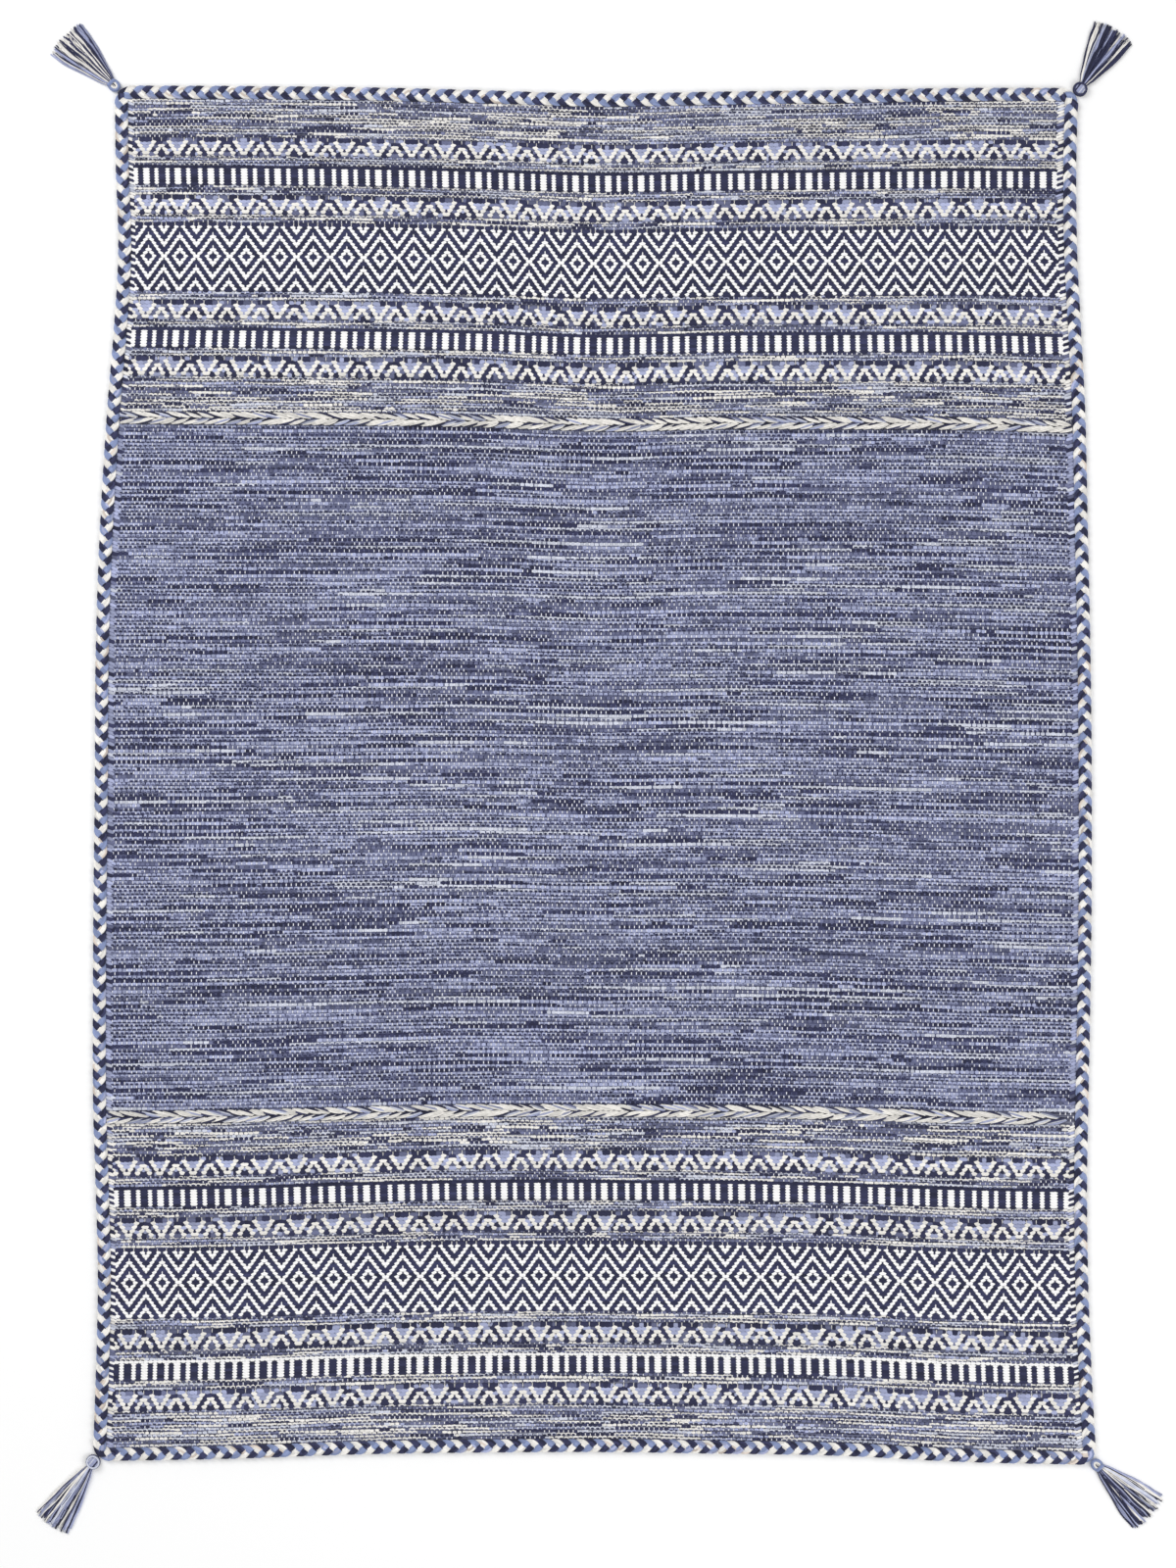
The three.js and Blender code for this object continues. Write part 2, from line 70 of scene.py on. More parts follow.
# The plait. Its lobes alternate between the outer and the inner side, three to a turn of a strand.
PLAIT_HALF_WIDTH = 8.2
PLAIT_INNER_HALF_WIDTH = 7.9
PLAIT_LOBE_PITCH = 10.4
PLAIT_CORNER_RADIUS = 13
PIECE_GAP = 0.3
CLOTH_INSET = PLAIT_HALF_WIDTH + PLAIT_INNER_HALF_WIDTH + PIECE_GAP

# The weave: warps across the panel, rows of weft, and the heights of the cloth and its floats.
WARPS = 393
WARP_PITCH = 3.0
REPEAT = 14
FIELD_ROWS = 188
FIELD_STEP = (FIELD_TOP - FIELD_BOTTOM) / FIELD_ROWS
# Rows are counted on from the first end: the count of the field's first row, and the rows that
# would lie under a chained row.
FIELD_COUNT = 200
CHAIN_ROWS = 4
MELANGE_PITCH = 3.65
GROUND_HEIGHT = 2.35
UNDER_PLAIT = 3.5

# Motif bands from the first end to the second, on the middle line.
BANDS = [
    ("zigzag", 781.2, 759.4),
    ("bars", 746.6, 723),
    ("zigzag", 710.2, 687.1),
    ("diamonds", 676.2, 591.8),
    ("zigzag", 580.3, 557.2),
    ("bars", 546.3, 522),
    ("zigzag", 511.1, 486.8),
    ("zigzag", -463.1, -486.2),
    ("bars", -500.2, -524.4),
    ("zigzag", -538.4, -562.1),
    ("diamonds", -575.4, -661.6),
    ("zigzag", -675.6, -699.9),
    ("bars_turned", -714.4, -738.1),
    ("zigzag", -750.8, -775.1),
]

# Charts of a repeat, one line for each row of weft. The letters run from the diamonds' column
# outwards to half a repeat away, and the chart is mirrored about both.
ZIGZAG_CHART = ["nnntnnnt", "bbbccnnn", "bbccnncc", "nccnnccn", "ccnnccnn"]
BARS_CHART = ["nnnnnnnn"] + 6 * ["wwnnwwnn"]
BARS_TURNED_CHART = ["wwwwwwww"] + 6 * ["nnwwnnww"]
DIAMOND_ROWS = 21

# Yarn colours as seen, red, green and blue of 255, and how far their tints spread.
DYES = {
    "navy": ((52, 54, 82), 0.25),
    "slate": ((104, 108, 138), 0.2),
    "blue": ((163, 169, 201), 0.14),
    "pale": ((203, 207, 222), 0.10),
    "cream": ((238, 235, 230), 0.07),
    "white": ((252, 251, 251), 0.02),
    "sky": ((136, 149, 188), 0.08),
    "sand": ((212, 200, 190), 0.1),
}
DYE_NAMES = list(DYES)
TINTS = 8
PALETTE_SIDE = 8
PALETTE_MARGIN = 0.08
rng = np.random.default_rng(41)


def curve_through(places, values):
    """A function on a smooth curve through a table's rows."""
    places, values = np.array(places, float), np.array(values, float)
    index = np.arange(len(places))
    before, after = np.maximum(index - 1, 0), np.minimum(index + 1, len(places) - 1)
    slopes = (values[after] - values[before]) / (places[after] - places[before])

    def at(where):
        where = np.clip(where, places[0], places[-1])
        i = np.clip(np.searchsorted(places, where, side="right") - 1, 0, len(places) - 2)
        span, rise = places[i + 1] - places[i], values[i + 1] - values[i]
        t = (where - places[i]) / span
        bend = t * (1 - t) * ((1 - t) * (slopes[i] * span - rise) - t * (slopes[i + 1] * span - rise))
        return values[i] + t * rise + bend

    return at


left_edge = curve_through(SIDE_EDGES["y"], SIDE_EDGES["left"])
right_edge = curve_through(SIDE_EDGES["y"], SIDE_EDGES["right"])
BOW_PLACES = np.array([FIRST_END, FIRST_CHAIN, SECOND_CHAIN, SECOND_END])
drift = curve_through(WARP_DRIFT["x"], WARP_DRIFT["shift"])
BOWS = [curve_through(WEFT_BOW["x"], WEFT_BOW[name]) for name in list(WEFT_BOW)[1:]]


def weft_y(nominal, x):
    """The y of a line of weft at x, for the line that crosses the middle at nominal."""
    nominal, x = np.broadcast_arrays(np.asarray(nominal, float), np.asarray(x, float))
    part = (nominal < FIRST_CHAIN).astype(int) + (nominal < SECOND_CHAIN)
    bows = np.stack([bow(x) for bow in BOWS])
    above = np.take_along_axis(bows, part[None], 0)[0]
    below = np.take_along_axis(bows, part[None] + 1, 0)[0]
    t = (BOW_PLACES[part] - nominal) / (BOW_PLACES[part] - BOW_PLACES[part + 1])
    return nominal + above + t * (below - above)


def warp_x(nominal, warp):
    """The x at which a line of weft crosses a warp, which may be a fraction."""
    left = left_edge(weft_y(nominal, -NEAR_SELVEDGE)) + CLOTH_INSET
    right = right_edge(weft_y(nominal, NEAR_SELVEDGE)) - CLOTH_INSET
    x = left + (right - left) * np.asarray(warp, float) / WARPS
    return x + drift(x)


def dye_index(name, tint):
    """The palette's number for a dye's tints, from 0, the darkest, to 1, the lightest."""
    step = np.clip(np.floor(np.asarray(tint) * TINTS), 0, TINTS - 1).astype(int)
    return DYE_NAMES.index(name) * TINTS + step


def linear(srgb):
    share = np.asarray(srgb, float) / 255
    return np.where(share <= 0.04045, share / 12.92, ((share + 0.055) / 1.055) ** 2.4)


def opaque(srgb):
    """A node's colour value."""
    return (*linear(srgb), 1)


def unit(vectors):
    return vectors / np.maximum(np.linalg.norm(vectors, axis=-1, keepdims=True), 1e-9)


def palette():
    """The linear colour of each palette number."""
    rows = []
    for colour, spread in DYES.values():
        for step in range(TINTS):
            factor = 1 + spread * (2 * (step + 0.5) / TINTS - 1)
            rows.append(linear(np.clip(np.array(colour) * factor, 0, 255)))
    return np.array(rows)


PALETTE = palette()


class Yarns:
    """Joined yarn meshes: points, triangles, each corner's place on its yarn, and a dye each."""

    def __init__(self):
        self.batches, self.count = [], 0

    def add(self, points, faces, places, dyes):
        points, faces = points.reshape(-1, 3), faces.reshape(-1, 3) + self.count
        self.batches.append((points, faces, places.reshape(-1, 3, 2), dyes.reshape(-1)))
        self.count += len(points)

    def add_copies(self, points, faces, places, dyes):
        """Many copies of one small mesh, each with its own points and its own dye."""
        copies, size = points.shape[:2]
        shift = (np.arange(copies) * size)[:, None, None]
        places = np.broadcast_to(places, (copies, *faces.shape, 2))
        self.add(points, faces + shift, places, np.repeat(dyes, len(faces)))


def mesh_object(name, points, faces):
    mesh = bpy.data.meshes.new(name)
    mesh.vertices.add(len(points))
    mesh.vertices.foreach_set("co", (points * MM).astype(np.float32).ravel())
    mesh.loops.add(faces.size)
    mesh.loops.foreach_set("vertex_index", faces.astype(np.int32).ravel())
    mesh.polygons.add(len(faces))
    sides = faces.shape[1]
    mesh.polygons.foreach_set("loop_start", np.arange(0, faces.size, sides, dtype=np.int32))
    mesh.polygons.foreach_set("use_smooth", np.ones(len(faces), bool))
    mesh.update(calc_edges=True)
    piece = bpy.data.objects.new(name, mesh)
    bpy.context.scene.collection.objects.link(piece)
    return piece


def add_uv(mesh, name, values):
    layer = mesh.uv_layers.new(name=name)
    layer.data.foreach_set("uv", values.astype(np.float32).ravel())


def yarn_piece(name, yarns, material):
    """One piece from a batch of yarns. Its map OFBake lays each yarn on its dye's square."""
    points, faces, places, dyes = map(np.concatenate, zip(*yarns.batches))
    piece = mesh_object(name, points, faces)
    add_uv(piece.data, "Yarn", places)
    square = np.stack([dyes % PALETTE_SIDE, dyes // PALETTE_SIDE], 1)[:, None, :]
    within = PALETTE_MARGIN + (1 - 2 * PALETTE_MARGIN) * places
    add_uv(piece.data, "OFBake", (square + within) / PALETTE_SIDE)
    colour = np.ones((len(dyes), 3, 4), np.float32)
    colour[:, :, :3] = PALETTE[dyes][:, None, :]
    attribute = piece.data.color_attributes.new("Dye", "FLOAT_COLOR", "CORNER")
    attribute.data.foreach_set("color", colour.ravel())
    piece.data.materials.append(material)
    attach(piece, "root")
    return piece


COTTON = {"Roughness": 0.92, "Specular IOR Level": 0.15, "Sheen Weight": 0.08, "Sheen Roughness": 0.6}
FLOOR_PAINT = {"Base Color": (0.98, 0.98, 0.98, 1), "Roughness": 0.9, "Specular IOR Level": 0.1}


class Nodes:
    """Short calls for making a material's nodes."""

    def __init__(self, name):
        self.material = bpy.data.materials.new(name)
        self.material.use_nodes = True
        self.tree = self.material.node_tree
        self.shader = self.tree.nodes["Principled BSDF"]

    def new(self, kind, inputs, **settings):
        node = self.tree.nodes.new("ShaderNode" + kind)
        for key, value in settings.items():
            setattr(node, key, value)
        for key, value in inputs.items():
            if isinstance(value, bpy.types.NodeSocket):
                self.tree.links.new(value, node.inputs[key])
            else:
                node.inputs[key].default_value = value
        return node

    def map(self, name):
        return self.new("UVMap", {}, uv_map=name).outputs[0]

    def maths(self, operation, *values):
        return self.new("Math", dict(enumerate(values)), operation=operation).outputs[0]

    def noise(self, place, scale, detail):
        stretched = self.new("Mapping", {"Vector": place, "Scale": scale}).outputs[0]
        return self.new("TexNoise", {0: stretched, "Scale": 1.0, "Detail": detail}).outputs[0]

    def mix(self, factor, a, b, blend="MIX"):
        return self.new("Mix", {0: factor, 6: a, 7: b}, data_type="RGBA", blend_type=blend).outputs[2]

    def shaded(self, colour, light):
        grey = self.new("CombineColor", {0: light, 1: light, 2: light}).outputs[0]
        return self.mix(1.0, colour, grey, "MULTIPLY")

    def set_shader(self, values):
        for key, value in values.items():
            self.shader.inputs[key].default_value = value

    def finish(self, colour, height, strength, distance):
        self.tree.links.new(colour, self.shader.inputs["Base Color"])
        self.set_shader(COTTON)
        bump = self.new("Bump", {"Strength": strength, "Distance": distance, "Height": height})
        self.tree.links.new(bump.outputs[0], self.shader.inputs["Normal"])
        return self.material


def yarn_material(name, twist, painted_rim_shade, plies=1):
    """Spun cotton. Its place on the yarn runs from 0 to 1 along u and from edge to edge along v."""
    n = Nodes(name)
    dye = n.new("Attribute", {}, attribute_name="Dye").outputs["Color"]
    place = n.map("Yarn")
    u, v = n.new("SeparateXYZ", {0: place}).outputs[:2]
    turned = n.maths("ADD", n.maths("MULTIPLY", u, twist), n.maths("MULTIPLY", v, 1.5 * plies))
    stripe = n.maths("SINE", n.maths("MULTIPLY", turned, 2 * math.pi))
    stripe = n.maths("MULTIPLY_ADD", stripe, 0.5, 0.5)
    fibre = n.noise(place, (6.0, 22.0, 1.0), 3.0)
    # Painted shade: the yarn's colour is darkened towards its edges, where it dips beside its neighbours.
    off_centre = n.maths("ABSOLUTE", n.maths("MULTIPLY_ADD", v, 2.0, -1.0))
    rim = n.maths("POWER", off_centre, 2.5)
    light = n.maths("SUBTRACT", 1.0, n.maths("MULTIPLY", rim, painted_rim_shade))
    light = n.maths("MULTIPLY", light, n.maths("MULTIPLY_ADD", stripe, 0.10, 0.93))
    light = n.maths("MULTIPLY", light, n.maths("MULTIPLY_ADD", fibre, 0.28, 0.87))
    height = n.maths("ADD", n.maths("MULTIPLY", stripe, 0.7), n.maths("MULTIPLY", fibre, 0.5))
    return n.finish(n.shaded(dye, light), height, 0.55, 0.0004)


FLOAT_YARN = yarn_material("weft_yarn", 2.0, 0.25)

# Shapes of floats, as points along and across the float and triangles: one of plain weave is a
# raised point within a rim of six, the dash that a darker yarn lays over it is flat with low tips,
# and a longer one has a ridge between its points 6 and 7.
SHORT_SHAPE = (
    np.array([(1, -0.7), (1, 0.7), (0, 1), (-1, 0.7), (-1, -0.7), (0, -1), (0, 0)]),
    np.array([(k, (k + 1) % 6, 6) for k in range(6)]),
)
DASH_SHAPE = (
    np.array([(1, 0), (0.55, 1), (-0.55, 1), (-1, 0), (-0.55, -1), (0.55, -1)]),
    np.array([(0, 1, 5), (1, 2, 4), (1, 4, 5), (2, 3, 4)]),
)
DASH_TIP, DASH_TOP = 3.1, 3.6
# How far the dash's lower side lies below the middle of its row, as a share of the pitch.
DASH_DROP = 0.45
DASH_HEIGHTS = [DASH_TIP, DASH_TOP, DASH_TOP, DASH_TIP, DASH_TOP, DASH_TOP]
LONG_FACES = np.array([
    (0, 1, 6), (1, 7, 6), (1, 2, 7), (2, 3, 7), (3, 4, 7), (4, 6, 7), (4, 5, 6), (5, 0, 6),
])


def float_frame(nominal, warp):
    """Each float's middle, the width of a warp there and the slope of its line of weft."""
    x = warp_x(nominal, warp)
    width = warp_x(nominal, warp + 1) - x
    y = weft_y(nominal, x)
    slope = (weft_y(nominal, x + 20) - weft_y(nominal, x - 20)) / 40
    return x, y, width, slope


def add_floats(yarns, shape, nominal, warp, half_warps, half_height, heights, dyes, tilt=0.0):
    """One copy of a shape for each float, with its points at heights."""
    rim, faces = shape
    x, y, width, slope = float_frame(nominal, warp)
    along = rim[None, :, 0] * (half_warps * width)[:, None]
    across = rim[None, :, 1] * half_height[:, None]
    points = np.empty((len(x), len(rim), 3))
    points[..., 0] = x[:, None] + along
    points[..., 1] = y[:, None] + across + (slope + tilt)[:, None] * along
    points[..., 2] = heights
    yarns.add_copies(points, faces, ((rim + 1) / 2)[faces], dyes)


def crested(rim, crests):
    """The heights of a short float's points, for each float."""
    heights = np.full((len(crests), len(SHORT_SHAPE[0])), rim)
    heights[:, -1] = crests
    return heights


def add_long_floats(yarns, nominal, start, length, ends, half_height, rim, crest, dyes, lean):
    """Floats over length warps from start. ends is how much further they reach, and lean slides the
    lower side along the row, both in warps."""
    x, y, width, slope = float_frame(nominal, start + length / 2)
    half = (length / 2 + ends) * width
    flat = np.maximum(length / 2 + ends - 0.75, 0.1) * width / half
    ridge = np.maximum(length / 2 + ends - 0.85, 0.05) * width / half
    one, zero = np.ones_like(half), np.zeros_like(half)
    u = np.stack([-one, -flat, flat, one, flat, -flat, -ridge, ridge], 1)
    v = np.stack([zero, -one, -one, zero, one, one, zero, zero], 1)
    along = u * half[:, None] - v * (lean * width)[:, None]
    points = np.empty((len(x), 8, 3))
    points[..., 0] = x[:, None] + along
    points[..., 1] = y[:, None] + v * half_height[:, None] + slope[:, None] * along
    points[..., 2] = rim
    points[:, 6:, 2] = crest[:, None]
    yarns.add_copies(points, LONG_FACES, ((np.stack([u, v], 2) + 1) / 2)[:, LONG_FACES], dyes)


def colour_runs(rows, mix, lengths):
    """For each row of weft, which yarn of the mix shows at each warp, in runs along the row."""
    names = list(lengths)
    shares = np.array([mix.get(name, 0) for name in names], float)
    shares /= shares.sum()
    chosen = np.empty((rows, WARPS), int)
    for r in range(rows):
        at = -rng.integers(0, 12)
        last = -1
        while at < WARPS:
            odds = shares.copy()
            if last >= 0:
                odds[last] = 0
            last = rng.choice(len(names), p=odds / odds.sum())
            run = max(2, int(rng.gamma(2.0, lengths[names[last]] / 2.0)))
            chosen[r, max(at, 0) : at + run] = last
            at += run
    return names, chosen


# Plain weave, of a lighter and a darker yarn side by side in each row. light and dark are the shares
# of a row's length that each dye has, and covers the shares in which the darker yarn covers none,
# some or the whole of the row, in rows that lie in turn. Lengths of runs are in warps. forms are the
# height of a float's rim and of its middle, half its length in warps and half its width as a share
# of the row's pitch.
FIELD_WEAVE = {
    "light": {"blue": 0.82, "slate": 0.10, "pale": 0.08},
    "dark": {"navy": 0.82, "slate": 0.18},
    "runs": {"navy": 90, "slate": 34, "blue": 80, "pale": 30},
    "covers": [
        {"none": 0.02, "thin": 0.06, "wide": 0.60, "whole": 0.32},
        {"none": 0.36, "thin": 0.54, "wide": 0.08, "whole": 0.02},
    ],
    "cover_runs": {"none": 40, "thin": 70, "wide": 70, "whole": 50},
    "turns": {"kept": 130, "changed": 14},
    "forms": {
        "navy": (2.5, 3.4, 0.74, 0.54),
        "slate": (2.5, 3.4, 0.78, 0.52),
        "blue": (2.5, 3.3, 0.80, 0.52),
        "pale": (2.5, 3.3, 0.80, 0.52),
    },
    "wander": 0.08,
}
END_WEAVE = {
    "light": {"cream": 0.38, "pale": 0.34, "blue": 0.18, "slate": 0.10},
    "dark": {"navy": 0.70, "slate": 0.30},
    "runs": {"navy": 30, "slate": 24, "blue": 22, "pale": 22, "cream": 32},
    "covers": [
        {"none": 0.10, "thin": 0.30, "wide": 0.30, "whole": 0.30},
        {"none": 0.35, "thin": 0.45, "wide": 0.15, "whole": 0.05},
    ],
    "cover_runs": {"none": 18, "thin": 34, "wide": 30, "whole": 24},
    "turns": {"kept": 34, "changed": 14},
    "forms": {
        "navy": (2.5, 3.4, 0.76, 0.54),
        "slate": (2.5, 3.4, 0.78, 0.52),
        "blue": (2.5, 3.3, 0.80, 0.50),
        "pale": (2.5, 3.3, 0.80, 0.50),
        "cream": (2.5, 3.35, 0.80, 0.50),
        "white": (2.5, 3.6, 0.9, 0.5),
    },
    "wander": 0.16,
}
# How much of a row's height the darker yarn covers.
COVER_HEIGHTS = {"none": 0.0, "thin": 0.36, "wide": 0.54, "whole": 1.0}
EDGE_WARPS = 2


def covers_in_turn(rows, weave):
    """How the darker yarn covers each row at each warp: more and less in turn, and here and there
    the other way round."""
    names, more = colour_runs(rows, weave["covers"][0], weave["cover_runs"])
    _, less = colour_runs(rows, weave["covers"][1], weave["cover_runs"])
    _, changed = colour_runs(rows // 2 + 1, {"kept": 1, "changed": 1}, weave["turns"])
    number = np.arange(rows)
    darker = (number % 2)[:, None] == changed[number // 2]
    return np.array([COVER_HEIGHTS[name] for name in names])[np.where(darker, more, less)]


def add_plain_rows(yarns, nominals, pitch, parity, weave):
    """Rows of plain weave, whose floats alternate like bricks."""
    rows = len(nominals)
    names, light = colour_runs(rows, weave["light"], weave["runs"])
    _, dark = colour_runs(rows, weave["dark"], weave["runs"])
    covers = covers_in_turn(rows, weave)
    kinds = np.where(covers == 1, dark, light)
    row, warp = np.meshgrid(np.arange(rows), np.arange(EDGE_WARPS, WARPS - EDGE_WARPS), indexing="ij")
    shown = (row + warp + parity) % 2 == 0
    row, warp = row[shown], warp[shown]
    tints = 0.65 * rng.random(len(row)) + 0.35 * rng.random(rows)[row]
    waves = rng.random((rows, 2))
    bend = np.sin(2 * math.pi * (warp / (30 + 50 * waves[row, 0]) + waves[row, 1]))
    y = nominals[row] + weave["wander"] * pitch * (bend + 1.2 * (rng.random(len(row)) - 0.5))
    kind, cover, darker = kinds[row, warp], covers[row, warp], dark[row, warp]
    for k, name in enumerate(names):
        mine = kind == k
        count = int(mine.sum())
        rim, crest, reach, half = weave["forms"][name]
        add_floats(
            yarns, SHORT_SHAPE, y[mine],
            warp[mine] + 0.4 + 0.2 * rng.random(count),
            reach * (0.88 + 0.24 * rng.random(count)),
            half * pitch * (0.9 + 0.2 * rng.random(count)),
            crested(rim, crest + 0.25 * (rng.random(count) - 0.5)),
            dye_index(name, tints[mine]),
        )
        mine = (darker == k) & (cover > 0) & (cover < 1)
        count = int(mine.sum())
        height = cover[mine] * (0.85 + 0.3 * rng.random(count))
        add_floats(
            yarns, DASH_SHAPE,
            y[mine] - (DASH_DROP - height / 2) * pitch,
            warp[mine] + 0.4 + 0.2 * rng.random(count),
            0.60 + 0.26 * rng.random(count),
            height * pitch / 2,
            DASH_HEIGHTS,
            dye_index(name, tints[mine]),
        )
    add_edge_floats(yarns, nominals, pitch, kinds, names, weave["forms"])


def add_edge_floats(yarns, nominals, pitch, chosen, names, forms):
    """Where the weft turns round the selvedge, its floats are longer and slant."""
    for side, warp, column in ((-1, 0.9, 0), (1, WARPS - 0.9, WARPS - 1)):
        for k, name in enumerate(names):
            mine = chosen[:, column] == k
            count = int(mine.sum())
            rim, crest, _, half = forms[name]
            add_floats(
                yarns, SHORT_SHAPE, nominals[mine],
                np.full(count, warp), np.full(count, 1.6), np.full(count, half * pitch),
                crested(rim, crest + 0.3 + 0.3 * rng.random(count)),
                dye_index(name, rng.random(count)),
                tilt=0.34 * side,
            )


def unfolded(chart):
    """A chart's letters at every warp of the panel, one line for each row."""
    place = np.abs(np.arange(WARPS) % REPEAT - REPEAT // 2)
    return np.array([[line[d] for d in place] for line in chart])


def diamond_chart():
    """Nested diamonds from steps of one warp a row, two warps light and two dark."""
    lines = []
    for row in range(DIAMOND_ROWS):
        from_middle = abs(row - DIAMOND_ROWS // 2)
        steps = [(REPEAT // 2 - d - from_middle) % 4 for d in range(REPEAT // 2 + 1)]
        lines.append("".join("w" if step < 2 else "n" for step in steps))
    lines[0] = "nntnnntn"
    # Single warps where arms meet: a dark point under a V, a light tie on top of an inverted V, and
    # faint ones at their other sides.
    pointed = [list(line) for line in lines]
    for row in range(1, DIAMOND_ROWS - 1):
        for d, beside in ((0, 1), (REPEAT // 2, REPEAT // 2 - 1)):
            letter = lines[row][d]
            if letter != lines[row][beside]:
                joined_above = lines[row - 1][beside] == letter
                pointed[row][d] = {"n": "qp", "w": "so"}[letter][joined_above]
    return ["".join(line) for line in pointed]


CHARTS = {
    "zigzag": ZIGZAG_CHART,
    "bars": BARS_CHART,
    "bars_turned": BARS_TURNED_CHART,
    "diamonds": diamond_chart(),
}
ZIGZAG_MIX = {"navy": 0.54, "slate": 0.26, "blue": 0.2}
ZIGZAG_RUNS = {"navy": 7, "slate": 4, "blue": 4}
LONGEST_FLOAT = 3
MOTIF_RISE = {"zigzag": 0.35, "bars": 0.1, "bars_turned": 0.1, "diamonds": 0.1}
# By letter: the dye, the height of a float's rim and of its ridge, how far it reaches past its
# warps, half its width and its shift up the cloth, both as shares of the row's pitch.
CHART_FORMS = {
    "n": ("navy", 2.85, 3.68, 0.52, 0.74, -0.18),
    "p": ("navy", 2.8, 3.65, 0.1, 0.95, 0.1),
    "q": ("navy", 2.8, 3.5, 0.1, 0.55, -0.35),
    "d": ("slate", 2.8, 3.6, 0.50, 0.64, -0.18),
    "b": ("blue", 2.8, 3.55, 0.40, 0.56, -0.18),
    "c": ("cream", 2.9, 3.9, 0.36, 0.58, 0.18),
    "t": ("cream", 2.9, 3.8, -0.33, 0.55, 0.0),
    "w": ("white", 2.8, 3.68, 0.26, 0.61, 0.18),
    "s": ("white", 2.9, 4.0, -0.2, 0.85, 0.1),
    "o": ("white", 2.8, 3.5, 0.1, 0.5, 0.35),
}


def chart_floats(letters, parity):
    """The floats of a chart: row, first warp, length, letter and lean of each."""
    found = []
    rows = len(letters)
    for r in range(rows):
        line = letters[r]
        cuts = np.flatnonzero(line[1:] != line[:-1]) + 1
        cuts = cuts[(cuts > EDGE_WARPS) & (cuts < WARPS - EDGE_WARPS)]
        starts = np.concatenate([[EDGE_WARPS], cuts])
        ends = np.concatenate([cuts, [WARPS - EDGE_WARPS]])
        for start, end in zip(starts, ends):
            letter = line[start]
            if end - start > LONGEST_FLOAT:
                first = start + (start + r + parity) % 2
                steps = [start] if first > start else []
                steps += list(range(first, end, 2))
                for s, e in zip(steps, steps[1:] + [end]):
                    found.append((r, s, e - s, letter, 0.0))
                continue
            lean = 0.0
            if r + 1 < rows and 0 < start and end < WARPS:
                below = letters[r + 1]
                lean = 0.36 * (float(below[end] == letter) - float(below[start - 1] == letter))
            found.append((r, start, end - start, letter, lean))
    return found


def add_motif(yarns, kind, top, bottom, parity):
    letters = unfolded(CHARTS[kind])
    rows = len(letters)
    if kind == "zigzag":
        _, ground = colour_runs(rows, ZIGZAG_MIX, ZIGZAG_RUNS)
        letters = np.where(letters == "n", np.array(["n", "d", "b"])[ground], letters)
    pitch = (top - bottom) / rows
    nominals = top - pitch * (np.arange(rows) + 0.5)
    row, start, length, letter, lean = map(np.array, zip(*chart_floats(letters, parity)))
    row_tint = rng.random(rows)
    for key, (name, rim, crest, ends, half, rise) in CHART_FORMS.items():
        mine = letter == key
        count = int(mine.sum())
        add_long_floats(
            yarns,
            nominals[row[mine]] + rise * pitch,
            start[mine], length[mine], ends,
            pitch * half * (0.95 + 0.1 * rng.random(count)),
            rim + MOTIF_RISE[kind],
            crest + MOTIF_RISE[kind] + 0.2 * (rng.random(count) - 0.5),
            dye_index(name, 0.5 * rng.random(count) + 0.5 * row_tint[row[mine]]),
            lean[mine],
        )
    names = ["navy", "cream" if kind == "zigzag" else "white"]
    light_rows = np.repeat((np.arange(rows) % 2 == 0)[:, None], WARPS, 1).astype(int)
    add_edge_floats(yarns, nominals, pitch, light_rows, names, END_WEAVE["forms"])
    return rows


def even_rows(top, bottom, pitch):
    count = max(1, round((top - bottom) / pitch))
    step = (top - bottom) / count
    return top - step * (np.arange(count) + 0.5), step


def add_end_panel(yarns, top, bottom, bands, counted):
    """Rows of weft from top to bottom, counted on. Returns where each band begins and its count."""
    places = [(top, counted)]
    for kind, band_top, band_bottom in [*bands, (None, bottom, bottom)]:
        nominals, step = even_rows(places[-1][0], band_top, MELANGE_PITCH)
        add_plain_rows(yarns, nominals, step, counted, END_WEAVE)
        counted += len(nominals)
        places.append((band_top, counted))
        if kind:
            counted += add_motif(yarns, kind, band_top, band_bottom, counted)
            places.append((band_bottom, counted))
    return places


def make_cloth_faces():
    """The woven face, in four pieces from the first end to the second, and the rows' places."""
    first, upper, lower, second = Yarns(), Yarns(), Yarns(), Yarns()
    first_bands = [band for band in BANDS if band[1] > 0]
    second_bands = [band for band in BANDS if band[1] < 0]
    first_bottom, second_top = FIRST_CHAIN + CHAIN_HALF_WIDTH, SECOND_CHAIN - CHAIN_HALF_WIDTH
    places = add_end_panel(first, FIRST_END - CLOTH_INSET, first_bottom, first_bands, 0)
    nominals = FIELD_TOP - FIELD_STEP * (np.arange(FIELD_ROWS) + 0.5)
    middle = FIELD_ROWS // 2
    add_plain_rows(upper, nominals[:middle], FIELD_STEP, FIELD_COUNT, FIELD_WEAVE)
    add_plain_rows(lower, nominals[middle:], FIELD_STEP, FIELD_COUNT + middle, FIELD_WEAVE)
    after = FIELD_COUNT + FIELD_ROWS
    places += [(FIELD_TOP, FIELD_COUNT), (FIELD_BOTTOM, after)]
    places += add_end_panel(second, second_top, SECOND_END + CLOTH_INSET, second_bands, after + CHAIN_ROWS)
    parts = {"first_end": first, "field_upper": upper, "field_lower": lower, "second_end": second}
    pieces = [yarn_piece("weave_" + name, yarns, FLOAT_YARN) for name, yarns in parts.items()]
    return pieces, places


# The cloth's colours between the floats, in the ends and in the field: darkest, lightest and ticks. The
# darker ones stand both for the darker yarn and for painted shadow in the gaps between rows.
VALLEYS = [
    ((50, 52, 72), (120, 122, 140), (238, 238, 242)),
    ((46, 49, 78), (104, 109, 142), (240, 241, 248)),
]
